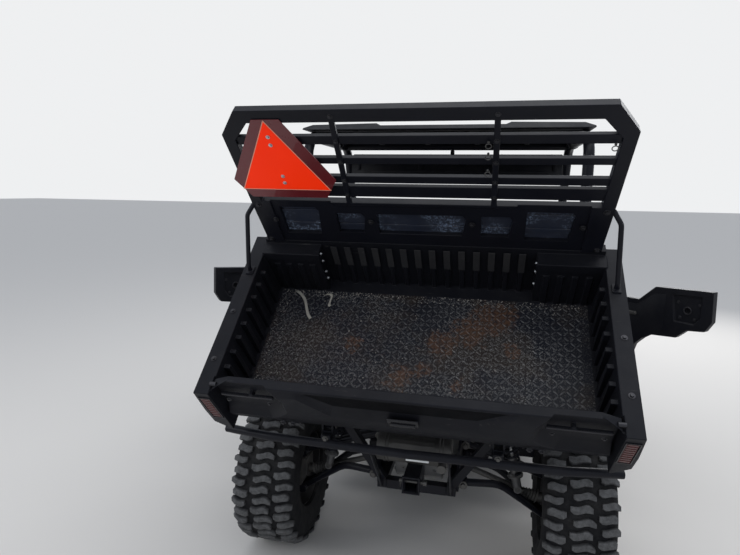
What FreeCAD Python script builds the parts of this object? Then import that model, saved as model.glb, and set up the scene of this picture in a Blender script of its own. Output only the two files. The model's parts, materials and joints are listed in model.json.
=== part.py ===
"""Side by side utility vehicle with its short bed tipped and both half doors open.

Millimetres, +X to the right, +Y forward, +Z up. While a piece is modelled, y = 0 is the rear
axle and z = 0 the ground. Bed pieces are drawn on a level bed, in their own axes: x across,
v forward from the bed's rear end and w up from its floor. They are then tipped about the
bed's hinge. Every finished piece is moved so that the middle of the whole length is y = 0.
"""
import FreeCAD
import Part
import os
from math import ceil, cos, degrees, pi, radians, sin, tan

V = FreeCAD.Vector
OUT = "parts"

# layout of the vehicle
WHEELBASE = 2060.0
REAR_AXLE_Y = -912.0
TYRE_R = 345.0
RIM_R = 178.0
ARCH_R = TYRE_R + 85
# half width of the bench, from which the cab takes its width
SEAT_HALF_W = 655.0
RUN_GAP = 0.4
SEAT_GAP = 0.3
CLEAR = 8.0

# facets of plain round bars: sides of the section, degrees that each facet of a bend turns
BAR_SIDES = 12
BEND_FACET = 24.0

# wheels: half track, tyre width and rim width of each axle
REAR_TRACK_HALF = 660.0
REAR_TYRE_W = 280.0
REAR_RIM_W = 216.0
FRONT_TRACK_HALF = 675.0
FRONT_TYRE_W = 230.0
FRONT_RIM_W = 178.0

# tyres and rims
LUG_H = 17.0
LUG_COUNT = 16
LUG_LEN = 58.0
SIDEWALL_DROP = 34.0
BEAD_INSET = 14.0
RIM_WALL = 8.0
RIM_DISC_T = 9.0
RIM_DISC_AT = 0.30
RIM_HOLES = 8
RIM_WINDOW = 62.0
STUB_R = 20.0
HUB_R = 62.0

# chassis: lower rails, narrow rear rails, upper rear rails that carry the bed
RAIL = 50.0
RAIL_X = 280.0
RAIL_Z = 345.0
RAIL_REAR_Y = 250.0
SILL_X = SEAT_HALF_W + 35
REAR_RAIL_X = 150.0
REAR_RAIL_Z = 400.0
REAR_RAIL = 40.0
REAR_RAIL_END_Y = -190.0
BED_RAIL = 40.0
BED_RAIL_X = 330.0
BED_RAIL_Z = 700.0
BED_RAIL_END_Y = -415.0
REAR_JOINT_X = 572.0
BED_POST_Y = -170.0
PILLAR_Y = 370.0
COWL_Y = WHEELBASE - ARCH_R - 20
NOSE_POST_Y = WHEELBASE + 210
NOSE_Y = WHEELBASE + ARCH_R - 50
RAIL_FRONT_Y = NOSE_Y - 90
COWL_Z = 960.0
FRONT_RAIL_X = 300.0
FRONT_RAIL_Z = 640.0
PIVOT_PLATE_T = 9.7

# bed: hinge in the vehicle, hinge in the bed's own axes, angle at which it stands tipped
BED_HINGE_Y = -389.5
BED_HINGE_Z = 761.0
BED_HINGE_V = 80.0
BED_HINGE_W = -100.0
BED_TILT = 42.2
BED_LEN = 770.0
BED_HALF_W = 755.0
BED_FLOOR_HALF_W = 681.0
BED_RAIL_H = 236.0
BED_FLOOR_T = 30.0
BED_WALL_FOOT = 720.0
BED_SKIRT = 58.0
BED_FRONT_V = 731.0
BED_FRONT_H = 261.0
BED_CHANNEL_W = 90.0
BED_RAIL_IN = 697.0
BOX_X0 = 446.0
BOX_V0 = 673.0
TAIL_LAMP_X = (706.0, 746.0)
TAIL_LAMP_W = (50.0, 200.0)
TAIL_LAMP_DEPTH = 20.0

# tailgate
GATE_V0 = 10.0
GATE_V1 = 60.0
GATE_H = 266.0
GATE_HALF_W = 690.0
GATE_HINGE_V = 45.0
GATE_HINGE_W = -15.0
GATE_HINGE_X = 450.0

# rack that stands on the front end of the bed
RACK_V = 740.0
RACK_T = 32.0
RACK_FOOT_HALF_W = 677.0
RACK_MID_HALF_W = 695.0
RACK_TOP_HALF_W = 620.0
RACK_MID_W = 815.0
RACK_TOP_W = 912.0

# slow vehicle triangle on the rack: centre, long and cut sides, thickness
SIGN_X = -511.0
SIGN_W = 672.0
SIGN_LONG = 308.0
SIGN_SHORT = 102.0
SIGN_T = 3.0

# cab
HOOP_R = 25.0
HOOP_TOP_Z = 1960.0
HOOP_REAR_Y = 400.0
HOOP_FRONT_Y = COWL_Y - 420
HOOP_BASE_Y = COWL_Y - 10
HOOP_BEND = 120.0
FLOOR_T = 12.0
TUNNEL_HALF_W = 95.0
TUNNEL_TOP = 510.0
PROP_Z = 455.0
SIDE_X0 = SILL_X + RAIL / 2 + SEAT_GAP
SIDE_X1 = SILL_X + 66
SILL_TOP_Z = 588.0

# bench seat
SEAT_Y0 = 440.0
SEAT_Y1 = 905.0
SEAT_Z = 715.0

# nose: thickness of its mouldings, outer edges of the fenders
NOSE_WALL = 14.0
FASCIA_T = 28.0
FENDER_SHOULDER_X = 735.0
FENDER_LIP_X = 775.0
# y, half width of the hood, z of its edge, z of its crown, z of the fender's shoulder
NOSE_SECTIONS = (
    (COWL_Y + 41, 560.0, 1012.0, 1124.0, 945.0),
    (WHEELBASE - 210, 532.0, 985.0, 1104.0, 908.0),
    (WHEELBASE, 494.0, 945.0, 1064.0, 870.0),
    (NOSE_POST_Y, 446.0, 903.0, 1004.0, 828.0),
    (NOSE_Y - FASCIA_T - SEAT_GAP, 400.0, 865.0, 930.0, 792.0),
)
HEAD_LAMP_OUTLINE = [(452, 716), (690, 690), (690, 752), (560, 800), (470, 812)]

# half doors: hinge line, thickness, angle at which they stand open
DOOR_HINGE_X = SILL_X + 55
DOOR_HINGE_Y = COWL_Y - 320
DOOR_INNER_X = SILL_X + 35
DOOR_T = 40.0
DOOR_OPEN = 45.0
DOOR_POST_X0 = SILL_X - 20
DOOR_POST_X1 = SILL_X + 22
DOOR_HINGE_Z = (700.0, 960.0)

# steering: king pin, wheel in front of the driver
KING_PIN_X = 600.0
KNUCKLE_BORE_R = 44.0
STEER_ARM = 120.0
STEER_ARM_Z = 358.0
RACK_BAR_Z = 492.0
FRONT_LOWER_Z = 232.0
FRONT_UPPER_Z = 438.0
JOINT_RISE = 38.0
BUSH_R = 18.0
DRIVER_X = -430.0
WHEEL_Y = COWL_Y - 570
WHEEL_Z = 1165.0
WHEEL_R = 175.0
COLUMN_TILT = 28.0
COLUMN_R = 26.0
COLUMN_LEN = 420.0

# strut that holds the bed up: foot in the vehicle, eye in the bed's own axes
STRUT_X = 270.0
STRUT_FOOT_Y = 260.0
STRUT_FOOT_Z = 425.0
STRUT_EYE_V = 280.0
STRUT_EYE_W = -62.0
STRUT_BARREL_R = 14.0
STRUT_ROD_R = 6.0
STRUT_BARREL_LEN = 480.0

# hitch: rear face and middle height of the receiver, half the outside and inside of its square
# tube, radius of the pin's hole and its distance from the rear face
HITCH_Y = -360.0
HITCH_Z = 520.0
HITCH_HALF = 31.8
HITCH_ROOM = 25.6
HITCH_PIN_R = 8.0
HITCH_PIN_IN = 38.0


def box(x0, x1, y0, y1, z0, z1):
    return Part.makeBox(x1 - x0, y1 - y0, z1 - z0, V(x0, y0, z0))


def cylinder(start, end, radius):
    axis = end - start
    return Part.makeCylinder(radius, axis.Length, start, axis)


def bar_x(half_length, y, z, radius):
    """A plain round bar that lies across the vehicle."""
    return tube([V(-half_length, y, z), V(half_length, y, z)], radius)


def edges_through(points, bend, closed=False):
    """Straight runs through the points, with a tangent arc of radius bend at each corner."""
    count = len(points)
    arrive, leave, arcs = list(points), list(points), {}
    for i in range(0 if closed else 1, count if closed else count - 1):
        here = points[i]
        back = points[i - 1] - here
        ahead = points[(i + 1) % count] - here
        half = back.getAngle(ahead) / 2
        if bend <= 0 or half > pi / 2 - 0.02:
            continue
        reach = min(bend / tan(half), 0.48 * back.Length, 0.48 * ahead.Length)
        back.normalize()
        ahead.normalize()
        middle = back + ahead
        middle.normalize()
        radius = reach * tan(half)
        arrive[i] = here + back * reach
        leave[i] = here + ahead * reach
        arcs[i] = Part.Arc(arrive[i], here + middle * (radius / sin(half) - radius), leave[i]).toShape()
    edges = []
    for i in range(count):
        if i in arcs:
            edges.append(arcs[i])
        if closed or i < count - 1:
            after = (i + 1) % count
            if (arrive[after] - leave[i]).Length > 0.01:
                edges.append(Part.makeLine(leave[i], arrive[after]))
    return edges


def skin(rows, closed=False):
    """A flat-faced solid through rows of points; closed joins the last row to the first."""
    faces = []
    count = len(rows[0])
    for near, far in zip(rows, rows[1:] + rows[:1] if closed else rows[1:]):
        for i in range(count):
            j = (i + 1) % count
            corners = [near[i], near[j], far[j], far[i]]
            normal = (near[j] - near[i]).cross(far[i] - near[i])
            normal.normalize()
            if abs((far[j] - near[i]).dot(normal)) < 1e-5:
                faces.append(corners)
            else:
                faces += [corners[:3], corners[2:] + corners[:1]]
    if not closed:
        faces += [rows[0], rows[-1]]
    shell = Part.makeShell([Part.Face(Part.makePolygon(face + face[:1])) for face in faces])
    shell.sewShape()
    solid = Part.makeSolid(shell)
    if solid.Volume < 0:
        solid.reverse()
    return solid


def path_through(points, bend):
    """The points, with the arc at each corner as short straight runs."""
    path = [points[0]]
    for before, here, after in zip(points, points[1:], points[2:]):
        back, ahead = before - here, after - here
        half = back.getAngle(ahead) / 2
        turn = pi - 2 * half
        reach = min(bend / tan(half), 0.48 * back.Length, 0.48 * ahead.Length)
        if reach < 1 or turn < 0.02:
            path.append(here)
            continue
        back.normalize()
        ahead.normalize()
        centre = here + (back + ahead) * (reach / (2 * cos(half) ** 2))
        start, finish = here + back * reach - centre, here + ahead * reach - centre
        count = ceil(degrees(turn) / BEND_FACET)
        for k in range(count + 1):
            a = turn * k / count
            path.append(centre + (start * sin(turn - a) + finish * sin(a)) / sin(turn))
    path.append(points[-1])
    return path


def tube(points, radius, bend=0.0):
    """A plain bar along the points, mitred at each facet of its bends; radius is to its flats."""
    path = path_through(points, bend)
    run = path[1] - path[0]
    run.normalize()
    side = run.cross(V(0, 1, 0) if abs(run.x) > 0.9 else V(1, 0, 0))
    side.normalize()
    up = run.cross(side)
    turns = [2 * pi * (i + 0.5) / BAR_SIDES for i in range(BAR_SIDES)]
    corner = radius / cos(pi / BAR_SIDES)
    rows = [[path[0] + (side * cos(a) + up * sin(a)) * corner for a in turns]]
    for i in range(1, len(path)):
        ahead = path[i + 1] - path[i] if i + 1 < len(path) else run
        ahead = ahead / ahead.Length
        mitre = run + ahead
        rows.append([p + run * ((path[i] - p).dot(mitre) / run.dot(mitre)) for p in rows[-1]])
        run = ahead
    return skin(rows)


def prism(plane, outline, low, high, bend=0.0, grow=0.0):
    """An outline in the plane across x, y or z, from low to high along that axis."""
    place = {"x": lambda a, b: V(low, a, b), "y": lambda a, b: V(a, low, b),
             "z": lambda a, b: V(a, b, low)}[plane]
    along = {"x": V(high - low, 0, 0), "y": V(0, high - low, 0), "z": V(0, 0, high - low)}[plane]
    wire = Part.Wire(edges_through([place(a, b) for a, b in outline], bend, True))
    if grow:
        wire = wire.makeOffset2D(grow, 2)
    return Part.Face(wire).extrude(along)


def ring_x(inner_r, outer_r, x0, x1, y=0.0, z=0.0):
    bar = cylinder(V(x0, y, z), V(x1, y, z), outer_r)
    return bar.cut(cylinder(V(x0 - 1, y, z), V(x1 + 1, y, z), inner_r))


def fuse(shapes):
    return shapes[0].multiFuse(list(shapes[1:])).removeSplitter()


def cut(body, tools):
    return body.cut(Part.makeCompound(tools))


def mirrored(shape):
    return shape.mirror(V(0, 0, 0), V(1, 0, 0))


def both_sides(shapes):
    return [copy for shape in shapes for copy in (shape, mirrored(shape))]


def tipped(shape):
    """From the level bed's own axes to the vehicle, tipped about the bed's hinge."""
    shape = shape.copy()
    shape.translate(V(0, -BED_HINGE_V, -BED_HINGE_W))
    shape.rotate(V(0, 0, 0), V(1, 0, 0), BED_TILT)
    shape.translate(V(0, BED_HINGE_Y, BED_HINGE_Z))
    return shape


def bed_point(x, v, w):
    dv, dw = v - BED_HINGE_V, w - BED_HINGE_W
    c, s = cos(radians(BED_TILT)), sin(radians(BED_TILT))
    return V(x, BED_HINGE_Y + dv * c - dw * s, BED_HINGE_Z + dv * s + dw * c)


def save(name, shape):
    shape = shape.copy()
    shape.translate(V(0, REAR_AXLE_Y, 0))
    shape.exportStep(os.path.join(OUT, name + ".step"))


# Wheels

def turned(outline, count):
    """Flat-faced ring through an outline of x and radius, turned about the x axis."""
    rows = []
    for k in range(count):
        a = 2 * pi * (k + 0.5) / count
        rows.append([V(x, r * sin(a), r * cos(a)) for x, r in outline])
    return skin(rows, True)


def tyre(width):
    """Carcass of a mud tyre about the x axis, with two staggered rows of wrap-over lugs."""
    facets = 2 * LUG_COUNT
    flat = cos(pi / facets)
    tread_r = TYRE_R - LUG_H
    half = width / 2
    shoulder = half - 26
    bead = half - BEAD_INSET
    bore = (RIM_R + SEAT_GAP) / flat
    side_r = tread_r - SIDEWALL_DROP
    carcass = turned([(-bead, bore), (bead, bore), (half - 6, side_r), (shoulder, tread_r),
                      (-shoulder, tread_r), (-half + 6, side_r)], facets)
    # a lug stands on one facet, from near the middle of the tread out over the shoulder
    top = ((TYRE_R ** 2 - (LUG_LEN / 2) ** 2) ** 0.5)
    foot, edge = tread_r * flat - 2, side_r * flat
    section = [(8, foot), (8, top), (half - 22, top), (half, edge + 8), (half - 8, edge - 8),
               (shoulder - 4, foot)]
    lug = prism("y", section, -LUG_LEN / 2, LUG_LEN / 2)
    lugs = []
    for i in range(facets):
        block = lug.copy() if i % 2 else mirrored(lug)
        block.rotate(V(0, 0, 0), V(1, 0, 0), i * 360.0 / facets)
        lugs.append(block)
    return fuse([carcass] + lugs)


def rim(width, stub_end):
    """Rim about the x axis with its outer side at +x, a dished disc and a stub axle."""
    half = width / 2
    disc = width * RIM_DISC_AT
    inner = RIM_R - RIM_WALL
    outline = [(-half, inner), (-half, RIM_R), (half, RIM_R), (half, inner), (disc + RIM_DISC_T, inner),
               (disc - 6, HUB_R), (disc - 6, 0), (-stub_end, 0), (-stub_end, STUB_R), (disc - 44, STUB_R),
               (disc - 44, HUB_R), (disc - 14, HUB_R), (disc, inner)]
    ring = [V(x, 0, r) for x, r in outline]
    body = Part.Face(Part.makePolygon(ring + ring[:1])).revolve(V(0, 0, 0), V(1, 0, 0), 360)
    # windows of the disc, wider at the rim than at the hub
    window = prism("x", [(-RIM_WINDOW / 2 + 8, 88), (RIM_WINDOW / 2 - 8, 88), (RIM_WINDOW / 2, 142),
                         (-RIM_WINDOW / 2, 142)], disc - 60, disc + 60)
    windows = []
    for i in range(RIM_HOLES):
        copy = window.copy()
        copy.rotate(V(0, 0, 0), V(1, 0, 0), 360.0 * (i + 0.5) / RIM_HOLES)
        windows.append(copy)
    return cut(body, windows)


# axle name, y, half track, tyre width, rim width, length of the stub axle inboard of mid rim
WHEELS = (
    ("front", WHEELBASE, FRONT_TRACK_HALF, FRONT_TYRE_W, FRONT_RIM_W, 35.0),
    ("rear", 0.0, REAR_TRACK_HALF, REAR_TYRE_W, REAR_RIM_W, 108.0),
)


def wheels():
    for axle, y, half_track, tyre_w, rim_w, stub_end in WHEELS:
        shapes = (("tyre", tyre(tyre_w)), ("rim", rim(rim_w, stub_end)))
        for piece, right in shapes:
            right.translate(V(half_track, y, TYRE_R))
            save(f"{piece}_{axle}_right", right)
            save(f"{piece}_{axle}_left", mirrored(right))


# Chassis

def rail_y(x, y0, y1, z0, size):
    return box(x - size / 2, x + size / 2, y0, y1, z0, z0 + size)


def cross(y, half, z0, size):
    return box(-half, half, y - size / 2, y + size / 2, z0, z0 + size)


def post(start, end, size):
    """A square tube between two points that share one x or one y."""
    lean = V(end.x - start.x, end.y - start.y, 0)
    h = size / 2
    low = [V(start.x - h, start.y - h, start.z), V(start.x + h, start.y - h, start.z),
           V(start.x + h, start.y + h, start.z), V(start.x - h, start.y + h, start.z)]
    rise = V(0, 0, end.z - start.z)
    return skin([low, [p + lean + rise for p in low]])


def frame():
    """Ladder of lower rails, sills and cross tubes."""
    sides = [rail_y(RAIL_X, RAIL_REAR_Y, RAIL_FRONT_Y, RAIL_Z, RAIL),
             rail_y(SILL_X, HOOP_REAR_Y - RAIL / 2, COWL_Y + RAIL / 2, RAIL_Z, RAIL)]
    crossings = [(RAIL_REAR_Y + RAIL / 2, RAIL_X + RAIL / 2), (HOOP_REAR_Y, SILL_X + RAIL / 2),
                 (SEAT_Y1 + 95, SILL_X), (COWL_Y, SILL_X + RAIL / 2), (WHEELBASE, RAIL_X),
                 (RAIL_FRONT_Y - RAIL / 2, RAIL_X)]
    save("frame", fuse(both_sides(sides) + [cross(y, half, RAIL_Z, RAIL) for y, half in crossings]))


def upper_frame():
    """Uprights and upper rails that stand on the ladder, each bar with a seam at its ends."""
    foot_z = RAIL_Z + RAIL + SEAT_GAP
    rear_top = REAR_RAIL_Z + REAR_RAIL
    # x, rear end, front end, z, size
    lines = ((BED_RAIL_X, BED_RAIL_END_Y, PILLAR_Y + BED_RAIL / 2, BED_RAIL_Z, BED_RAIL),
             (REAR_RAIL_X, REAR_RAIL_END_Y, RAIL_REAR_Y + RAIL, REAR_RAIL_Z, REAR_RAIL),
             (FRONT_RAIL_X, COWL_Y, RAIL_FRONT_Y - 60, FRONT_RAIL_Z, REAR_RAIL))
    rails = both_sides([rail_y(*line) for line in lines])
    room = both_sides([rail_y(x, y0 - SEAT_GAP, y1 + SEAT_GAP, z - SEAT_GAP, size + 2 * SEAT_GAP)
                       for x, y0, y1, z, size in lines])
    crossings = [
        cross(REAR_RAIL_END_Y + REAR_RAIL / 2, REAR_RAIL_X, REAR_RAIL_Z, REAR_RAIL),
        cross(BED_POST_Y, BED_RAIL_X, BED_RAIL_Z, BED_RAIL),
        cross(PILLAR_Y, SILL_X - HOOP_R - SEAT_GAP, BED_RAIL_Z, BED_RAIL),
        cross(COWL_Y, SILL_X + REAR_RAIL / 2, COWL_Z, REAR_RAIL),
        cross(NOSE_POST_Y, FRONT_RAIL_X, FRONT_RAIL_Z, REAR_RAIL),
    ]
    runs = [run for bar in crossings for run in cut(bar, room).Solids]
    # x at the foot, x at the top, y, z of the foot, z of the rail above
    bars = [post(V(x0, y, z0), V(x1, y, z1 - SEAT_GAP), REAR_RAIL) for x0, x1, y, z0, z1 in (
        (RAIL_X + 20, BED_RAIL_X, PILLAR_Y, foot_z, BED_RAIL_Z),
        (SILL_X, SILL_X, COWL_Y, foot_z, COWL_Z),
        (RAIL_X, FRONT_RAIL_X, COWL_Y, foot_z, FRONT_RAIL_Z),
        (RAIL_X, FRONT_RAIL_X, NOSE_POST_Y, foot_z, FRONT_RAIL_Z),
        (REAR_RAIL_X, BED_RAIL_X, BED_POST_Y, rear_top + SEAT_GAP, BED_RAIL_Z))]
    # ears that carry the bed's hinge pin
    ear_outline = [(BED_HINGE_Y - 25, BED_RAIL_Z + 10), (BED_HINGE_Y + 60, BED_RAIL_Z + 10),
                   (BED_HINGE_Y + 26, BED_HINGE_Z + 14), (BED_HINGE_Y, BED_HINGE_Z + 26),
                   (BED_HINGE_Y - 25, BED_HINGE_Z + 14)]
    ears = [prism("x", ear_outline, x, x + 8) for x in (BED_RAIL_X - 24, BED_RAIL_X + 16)]
    ears.append(cylinder(V(BED_RAIL_X - 30, BED_HINGE_Y, BED_HINGE_Z),
                         V(BED_RAIL_X + 30, BED_HINGE_Y, BED_HINGE_Z), 10))
    bars.append(cut(fuse(ears), room[:1]))
    # plates that carry the inner pivots of the arms, with a hole for each half shaft
    rear_x, front_x = REAR_RAIL_X + REAR_RAIL / 2 + SEAT_GAP, FRONT_RAIL_X - 5
    front_top = FRONT_RAIL_Z - SEAT_GAP
    for x, y0, y1, z0, z1, axle, shaft_z in (
            (rear_x, -150, 160, REAR_RAIL_Z + 2, 592, 0.0, 460.0),
            (front_x, WHEELBASE - 185, WHEELBASE + 185, foot_z, front_top, WHEELBASE, 426.0)):
        plate = box(x, x + PIVOT_PLATE_T, y0, y1, z0, z1)
        holes = [cylinder(V(x - 1, axle, shaft_z), V(x + 11, axle, shaft_z), 42)]
        if axle:
            holes.append(box(x - 1, x + 11, axle - STEER_ARM - 20, axle - STEER_ARM + 20,
                             RACK_BAR_Z - 52, RACK_BAR_Z + 19))
        bars.append(cut(plate, holes))
    # posts of the door hinges
    hinge_post = [box(DOOR_POST_X0, DOOR_POST_X1, DOOR_HINGE_Y - 5, DOOR_HINGE_Y + 45, foot_z, 1010)]
    ear = [(DOOR_POST_X0, DOOR_HINGE_Y - 5), (DOOR_POST_X0, DOOR_HINGE_Y + 14),
           (DOOR_HINGE_X + 14, DOOR_HINGE_Y + 14), (DOOR_HINGE_X + 14, DOOR_HINGE_Y - 12),
           (DOOR_HINGE_X - 12, DOOR_HINGE_Y - 12)]
    for z in DOOR_HINGE_Z:
        hinge_post += [prism("z", ear, low, low + 14) for low in (z - 34, z + 20)]
        hinge_post.append(cylinder(V(DOOR_HINGE_X, DOOR_HINGE_Y, z - 34),
                                   V(DOOR_HINGE_X, DOOR_HINGE_Y, z + 34), 8))
    bars.append(fuse(hinge_post))
    foot = [box(STRUT_X + s - 4, STRUT_X + s + 4, STRUT_FOOT_Y - 14, STRUT_FOOT_Y + 26,
                foot_z, STRUT_FOOT_Z + 16) for s in (-22, 22)]
    foot.append(cylinder(V(STRUT_X - 24, STRUT_FOOT_Y, STRUT_FOOT_Z),
                         V(STRUT_X + 24, STRUT_FOOT_Y, STRUT_FOOT_Z), 8))
    save("upper_frame", Part.makeCompound(rails + runs + both_sides(bars) + [fuse(foot)]))


def skid_plate():
    top = RAIL_Z - SEAT_GAP
    nose = RAIL_FRONT_Y + 40
    outline = [(RAIL_REAR_Y, top - 8), (nose, top - 8), (nose + 60, top + 60), (nose + 52, top + 66),
               (nose - 5, top), (RAIL_REAR_Y, top)]
    save("skid_plate", prism("x", outline, -RAIL_X - 20, RAIL_X + 20))


def powertrain():
    """Engine, clutch housing and rear gear case as one plain block."""
    foot = RAIL_Z + RAIL + SEAT_GAP
    engine = prism("x", [(170, 450), (385, 450), (385, 620), (330, 690), (170, 690)], -230, 230)
    middle = prism("x", [(60, 445), (171, 445), (171, 690), (110, 690), (60, 640)], -165, 165)
    sump = box(-120, 120, 60, 385, foot, 451)
    gear_case = prism("x", [(-110, 440), (-80, 410), (61, 410), (61, 600), (-60, 600), (-110, 560)],
                      -105, 105)
    save("powertrain", fuse([engine, middle, sump, gear_case]))


def muffler():
    y, z, r = -258.0, 632.0, 60.0
    can = cylinder(V(-148, y, z), V(148, y, z), r)
    outlet = tube([V(120, y - 40, z), V(120, y - 110, z - 20)], 16)
    hangers = [box(x - 4, x + 4, y, -190 - SEAT_GAP, z + 40, 738) for x in (-70, 70)]
    save("muffler", fuse([can, outlet] + hangers))


# Suspension: every arm has two legs that meet at one outer joint

# axle y, x, z of the inner pivots, their two y offsets, outer x, y offset and z, knee rise, leg radius
ARMS = {
    "rear_arms": (
        (0.0, 198.3, 430.0, (-110.0, 130.0), REAR_JOINT_X, 0.0, 250.0, 62.0, 16.0),
        (0.0, 198.3, 560.0, (2.0, 80.0), REAR_JOINT_X, 15.0, 428.0, 0.0, 13.0),
    ),
    "front_arms": (
        (WHEELBASE, 323.3, 370.0, (-150.0, 150.0), KING_PIN_X, 0.0, FRONT_LOWER_Z, 0.0, 16.0),
        (WHEELBASE, 323.3, 536.0, (-90.0, -12.0), KING_PIN_X, 0.0, FRONT_UPPER_Z, 0.0, 13.0),
    ),
}


def arms():
    for node, rows in ARMS.items():
        shapes = []
        for axle, x, z, offsets, outer_x, outer_dy, outer_z, rise, r in rows:
            end = V(outer_x, axle + outer_dy, outer_z)
            legs = []
            for dy in offsets:
                start = V(x, axle + dy, z)
                knee = start + (end - start) * 0.42 + V(0, 0, rise)
                points = [start, knee, end] if rise else [start, end]
                legs.append(tube(points, r, 120.0))
                legs.append(tube([start - V(0, 26, 0), start + V(0, 26, 0)], BUSH_R))
            if node == "front_arms":
                rise_up = JOINT_RISE if outer_z < TYRE_R else BUSH_R
                legs.append(tube([end - V(0, 0, BUSH_R), end + V(0, 0, rise_up)], 17))
            else:
                legs.append(tube([end - V(0, 42, 0), end + V(0, 42, 0)], 20))
            shapes.append(fuse(legs))
        save(node, Part.makeCompound(both_sides(shapes)))


# lower eye and upper eye of each coil-over shock: y, x, z, then x, z
SHOCKS = (
    (-57.0, 430.0, 404.0, 366.3, 716.0),
    (WHEELBASE + 70, 452.0, 352.0, 336.3, 665.0),
)


def shocks():
    shapes = []
    for y, x0, z0, x1, z1 in SHOCKS:
        low, high = V(x0, y, z0), V(x1, y, z1)
        run = high - low
        run.normalize()
        shapes.append(fuse([
            tube([low - V(0, 18, 0), low + V(0, 18, 0)], 16),
            tube([high - V(0, 18, 0), high + V(0, 18, 0)], 16),
            tube([low, low + run * 120], 20),
            tube([low + run * 60, high - run * 34], 31),
            tube([low + run * 60, high], 12),
        ]))
    save("shocks", Part.makeCompound(both_sides(shapes)))


def rear_carriers():
    """Bearing carriers that the stub axles of the rear rims turn in."""
    block = prism("y", [(545, 335), (575, 270.3), (604, 280), (604, 398), (590, 407.7), (545, 407.7)],
                  -48, 48)
    boss = cylinder(V(545, 0, TYRE_R), V(612, 0, TYRE_R), 42)
    bore = cylinder(V(540, 0, TYRE_R), V(620, 0, TYRE_R), STUB_R + RUN_GAP)
    save("rear_carriers", Part.makeCompound(both_sides([cut(fuse([block, boss]), [bore])])))


def drive_shafts():
    """Propeller shaft, front gear case and the four half shafts with their boots."""
    inner_z = 480.0
    case = prism("x", [(WHEELBASE - 100, 430), (WHEELBASE + 90, 430), (WHEELBASE + 90, 520),
                       (WHEELBASE - 60, 520), (WHEELBASE - 100, 490)], -95, 95)
    pedestal = box(-60, 60, WHEELBASE - 25, WHEELBASE + 25, RAIL_Z + RAIL + SEAT_GAP, 431)
    shaft = tube([V(0, 385 + SEAT_GAP, PROP_Z), V(0, WHEELBASE - 100 - SEAT_GAP, PROP_Z)], 18)
    front, rear = [], []
    for shapes, y, x0, x1, cv_z in ((front, WHEELBASE, 95.3, KING_PIN_X, TYRE_R),
                                    (rear, 0.0, 105.3, 520.0, TYRE_R)):
        a, b = V(x0 + 10, y, inner_z), V(x1, y, cv_z)
        run = b - a
        run.normalize()
        shapes += [tube([a, b], 13), tube([V(x0, y, inner_z), V(x0 + 14, y, inner_z)], 24),
                   tube([a + run * 8, a + run * 52], 24)]
    ball = tube([V(KING_PIN_X - 24, WHEELBASE, TYRE_R), V(KING_PIN_X + 20, WHEELBASE, TYRE_R)], 26)
    cv_joint = tube([V(515, 0, TYRE_R), V(544.7, 0, TYRE_R)], 22)
    save("drive_shafts", Part.makeCompound(
        [fuse([case, pedestal]), shaft] + both_sides([fuse(front + [ball]), fuse(rear + [cv_joint])])))


def knuckles():
    """Steering knuckles: a ring round the outer joint, king pin ears and a rearward arm."""
    x, y = KING_PIN_X, WHEELBASE
    shell = KNUCKLE_BORE_R + 13
    ring = ring_x(KNUCKLE_BORE_R, shell, x - 24, x + 36, y, TYRE_R)
    ears = [prism("y", [(x - 20, a), (x + 20, a), (x + 30, b), (x - 24, b)], y - 24, y + 24)
            for a, b in ((FRONT_LOWER_Z + JOINT_RISE + SEAT_GAP, TYRE_R - 48),
                         (FRONT_UPPER_Z - BUSH_R - SEAT_GAP, TYRE_R + 48))]
    tip = V(x - 12, y - STEER_ARM, STEER_ARM_Z)
    arm = [tube([V(x - 4, y - 50, TYRE_R - 6), tip], 11), tube([tip - V(0, 0, 11), tip + V(0, 0, 6)], 14)]
    # closed end that the wheel's stub axle turns in
    cup = cylinder(V(x + 34, y, TYRE_R), V(x + 50, y, TYRE_R), shell)
    bore = cylinder(V(x + 30, y, TYRE_R), V(x + 54, y, TYRE_R), STUB_R + RUN_GAP)
    right = cut(fuse([ring, cup] + arm + ears), [bore])
    save("knuckle_right", right)
    save("knuckle_left", mirrored(right))


def tie_rods():
    """Rack bar and tie rods, which slide across together; each eye floats above its arm."""
    x, y = KING_PIN_X - 12, WHEELBASE - STEER_ARM
    eye_z = STEER_ARM_Z + 6 + 10
    rack = bar_x(250.0, y, RACK_BAR_Z, 11)
    ends = [tube([V(240, y, RACK_BAR_Z), V(x, y, eye_z + 8)], 8),
            tube([V(x, y, eye_z), V(x, y, eye_z + 16)], 14)]
    save("tie_rods", fuse([rack] + both_sides(ends)))


# Bed, drawn level in its own axes

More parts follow.
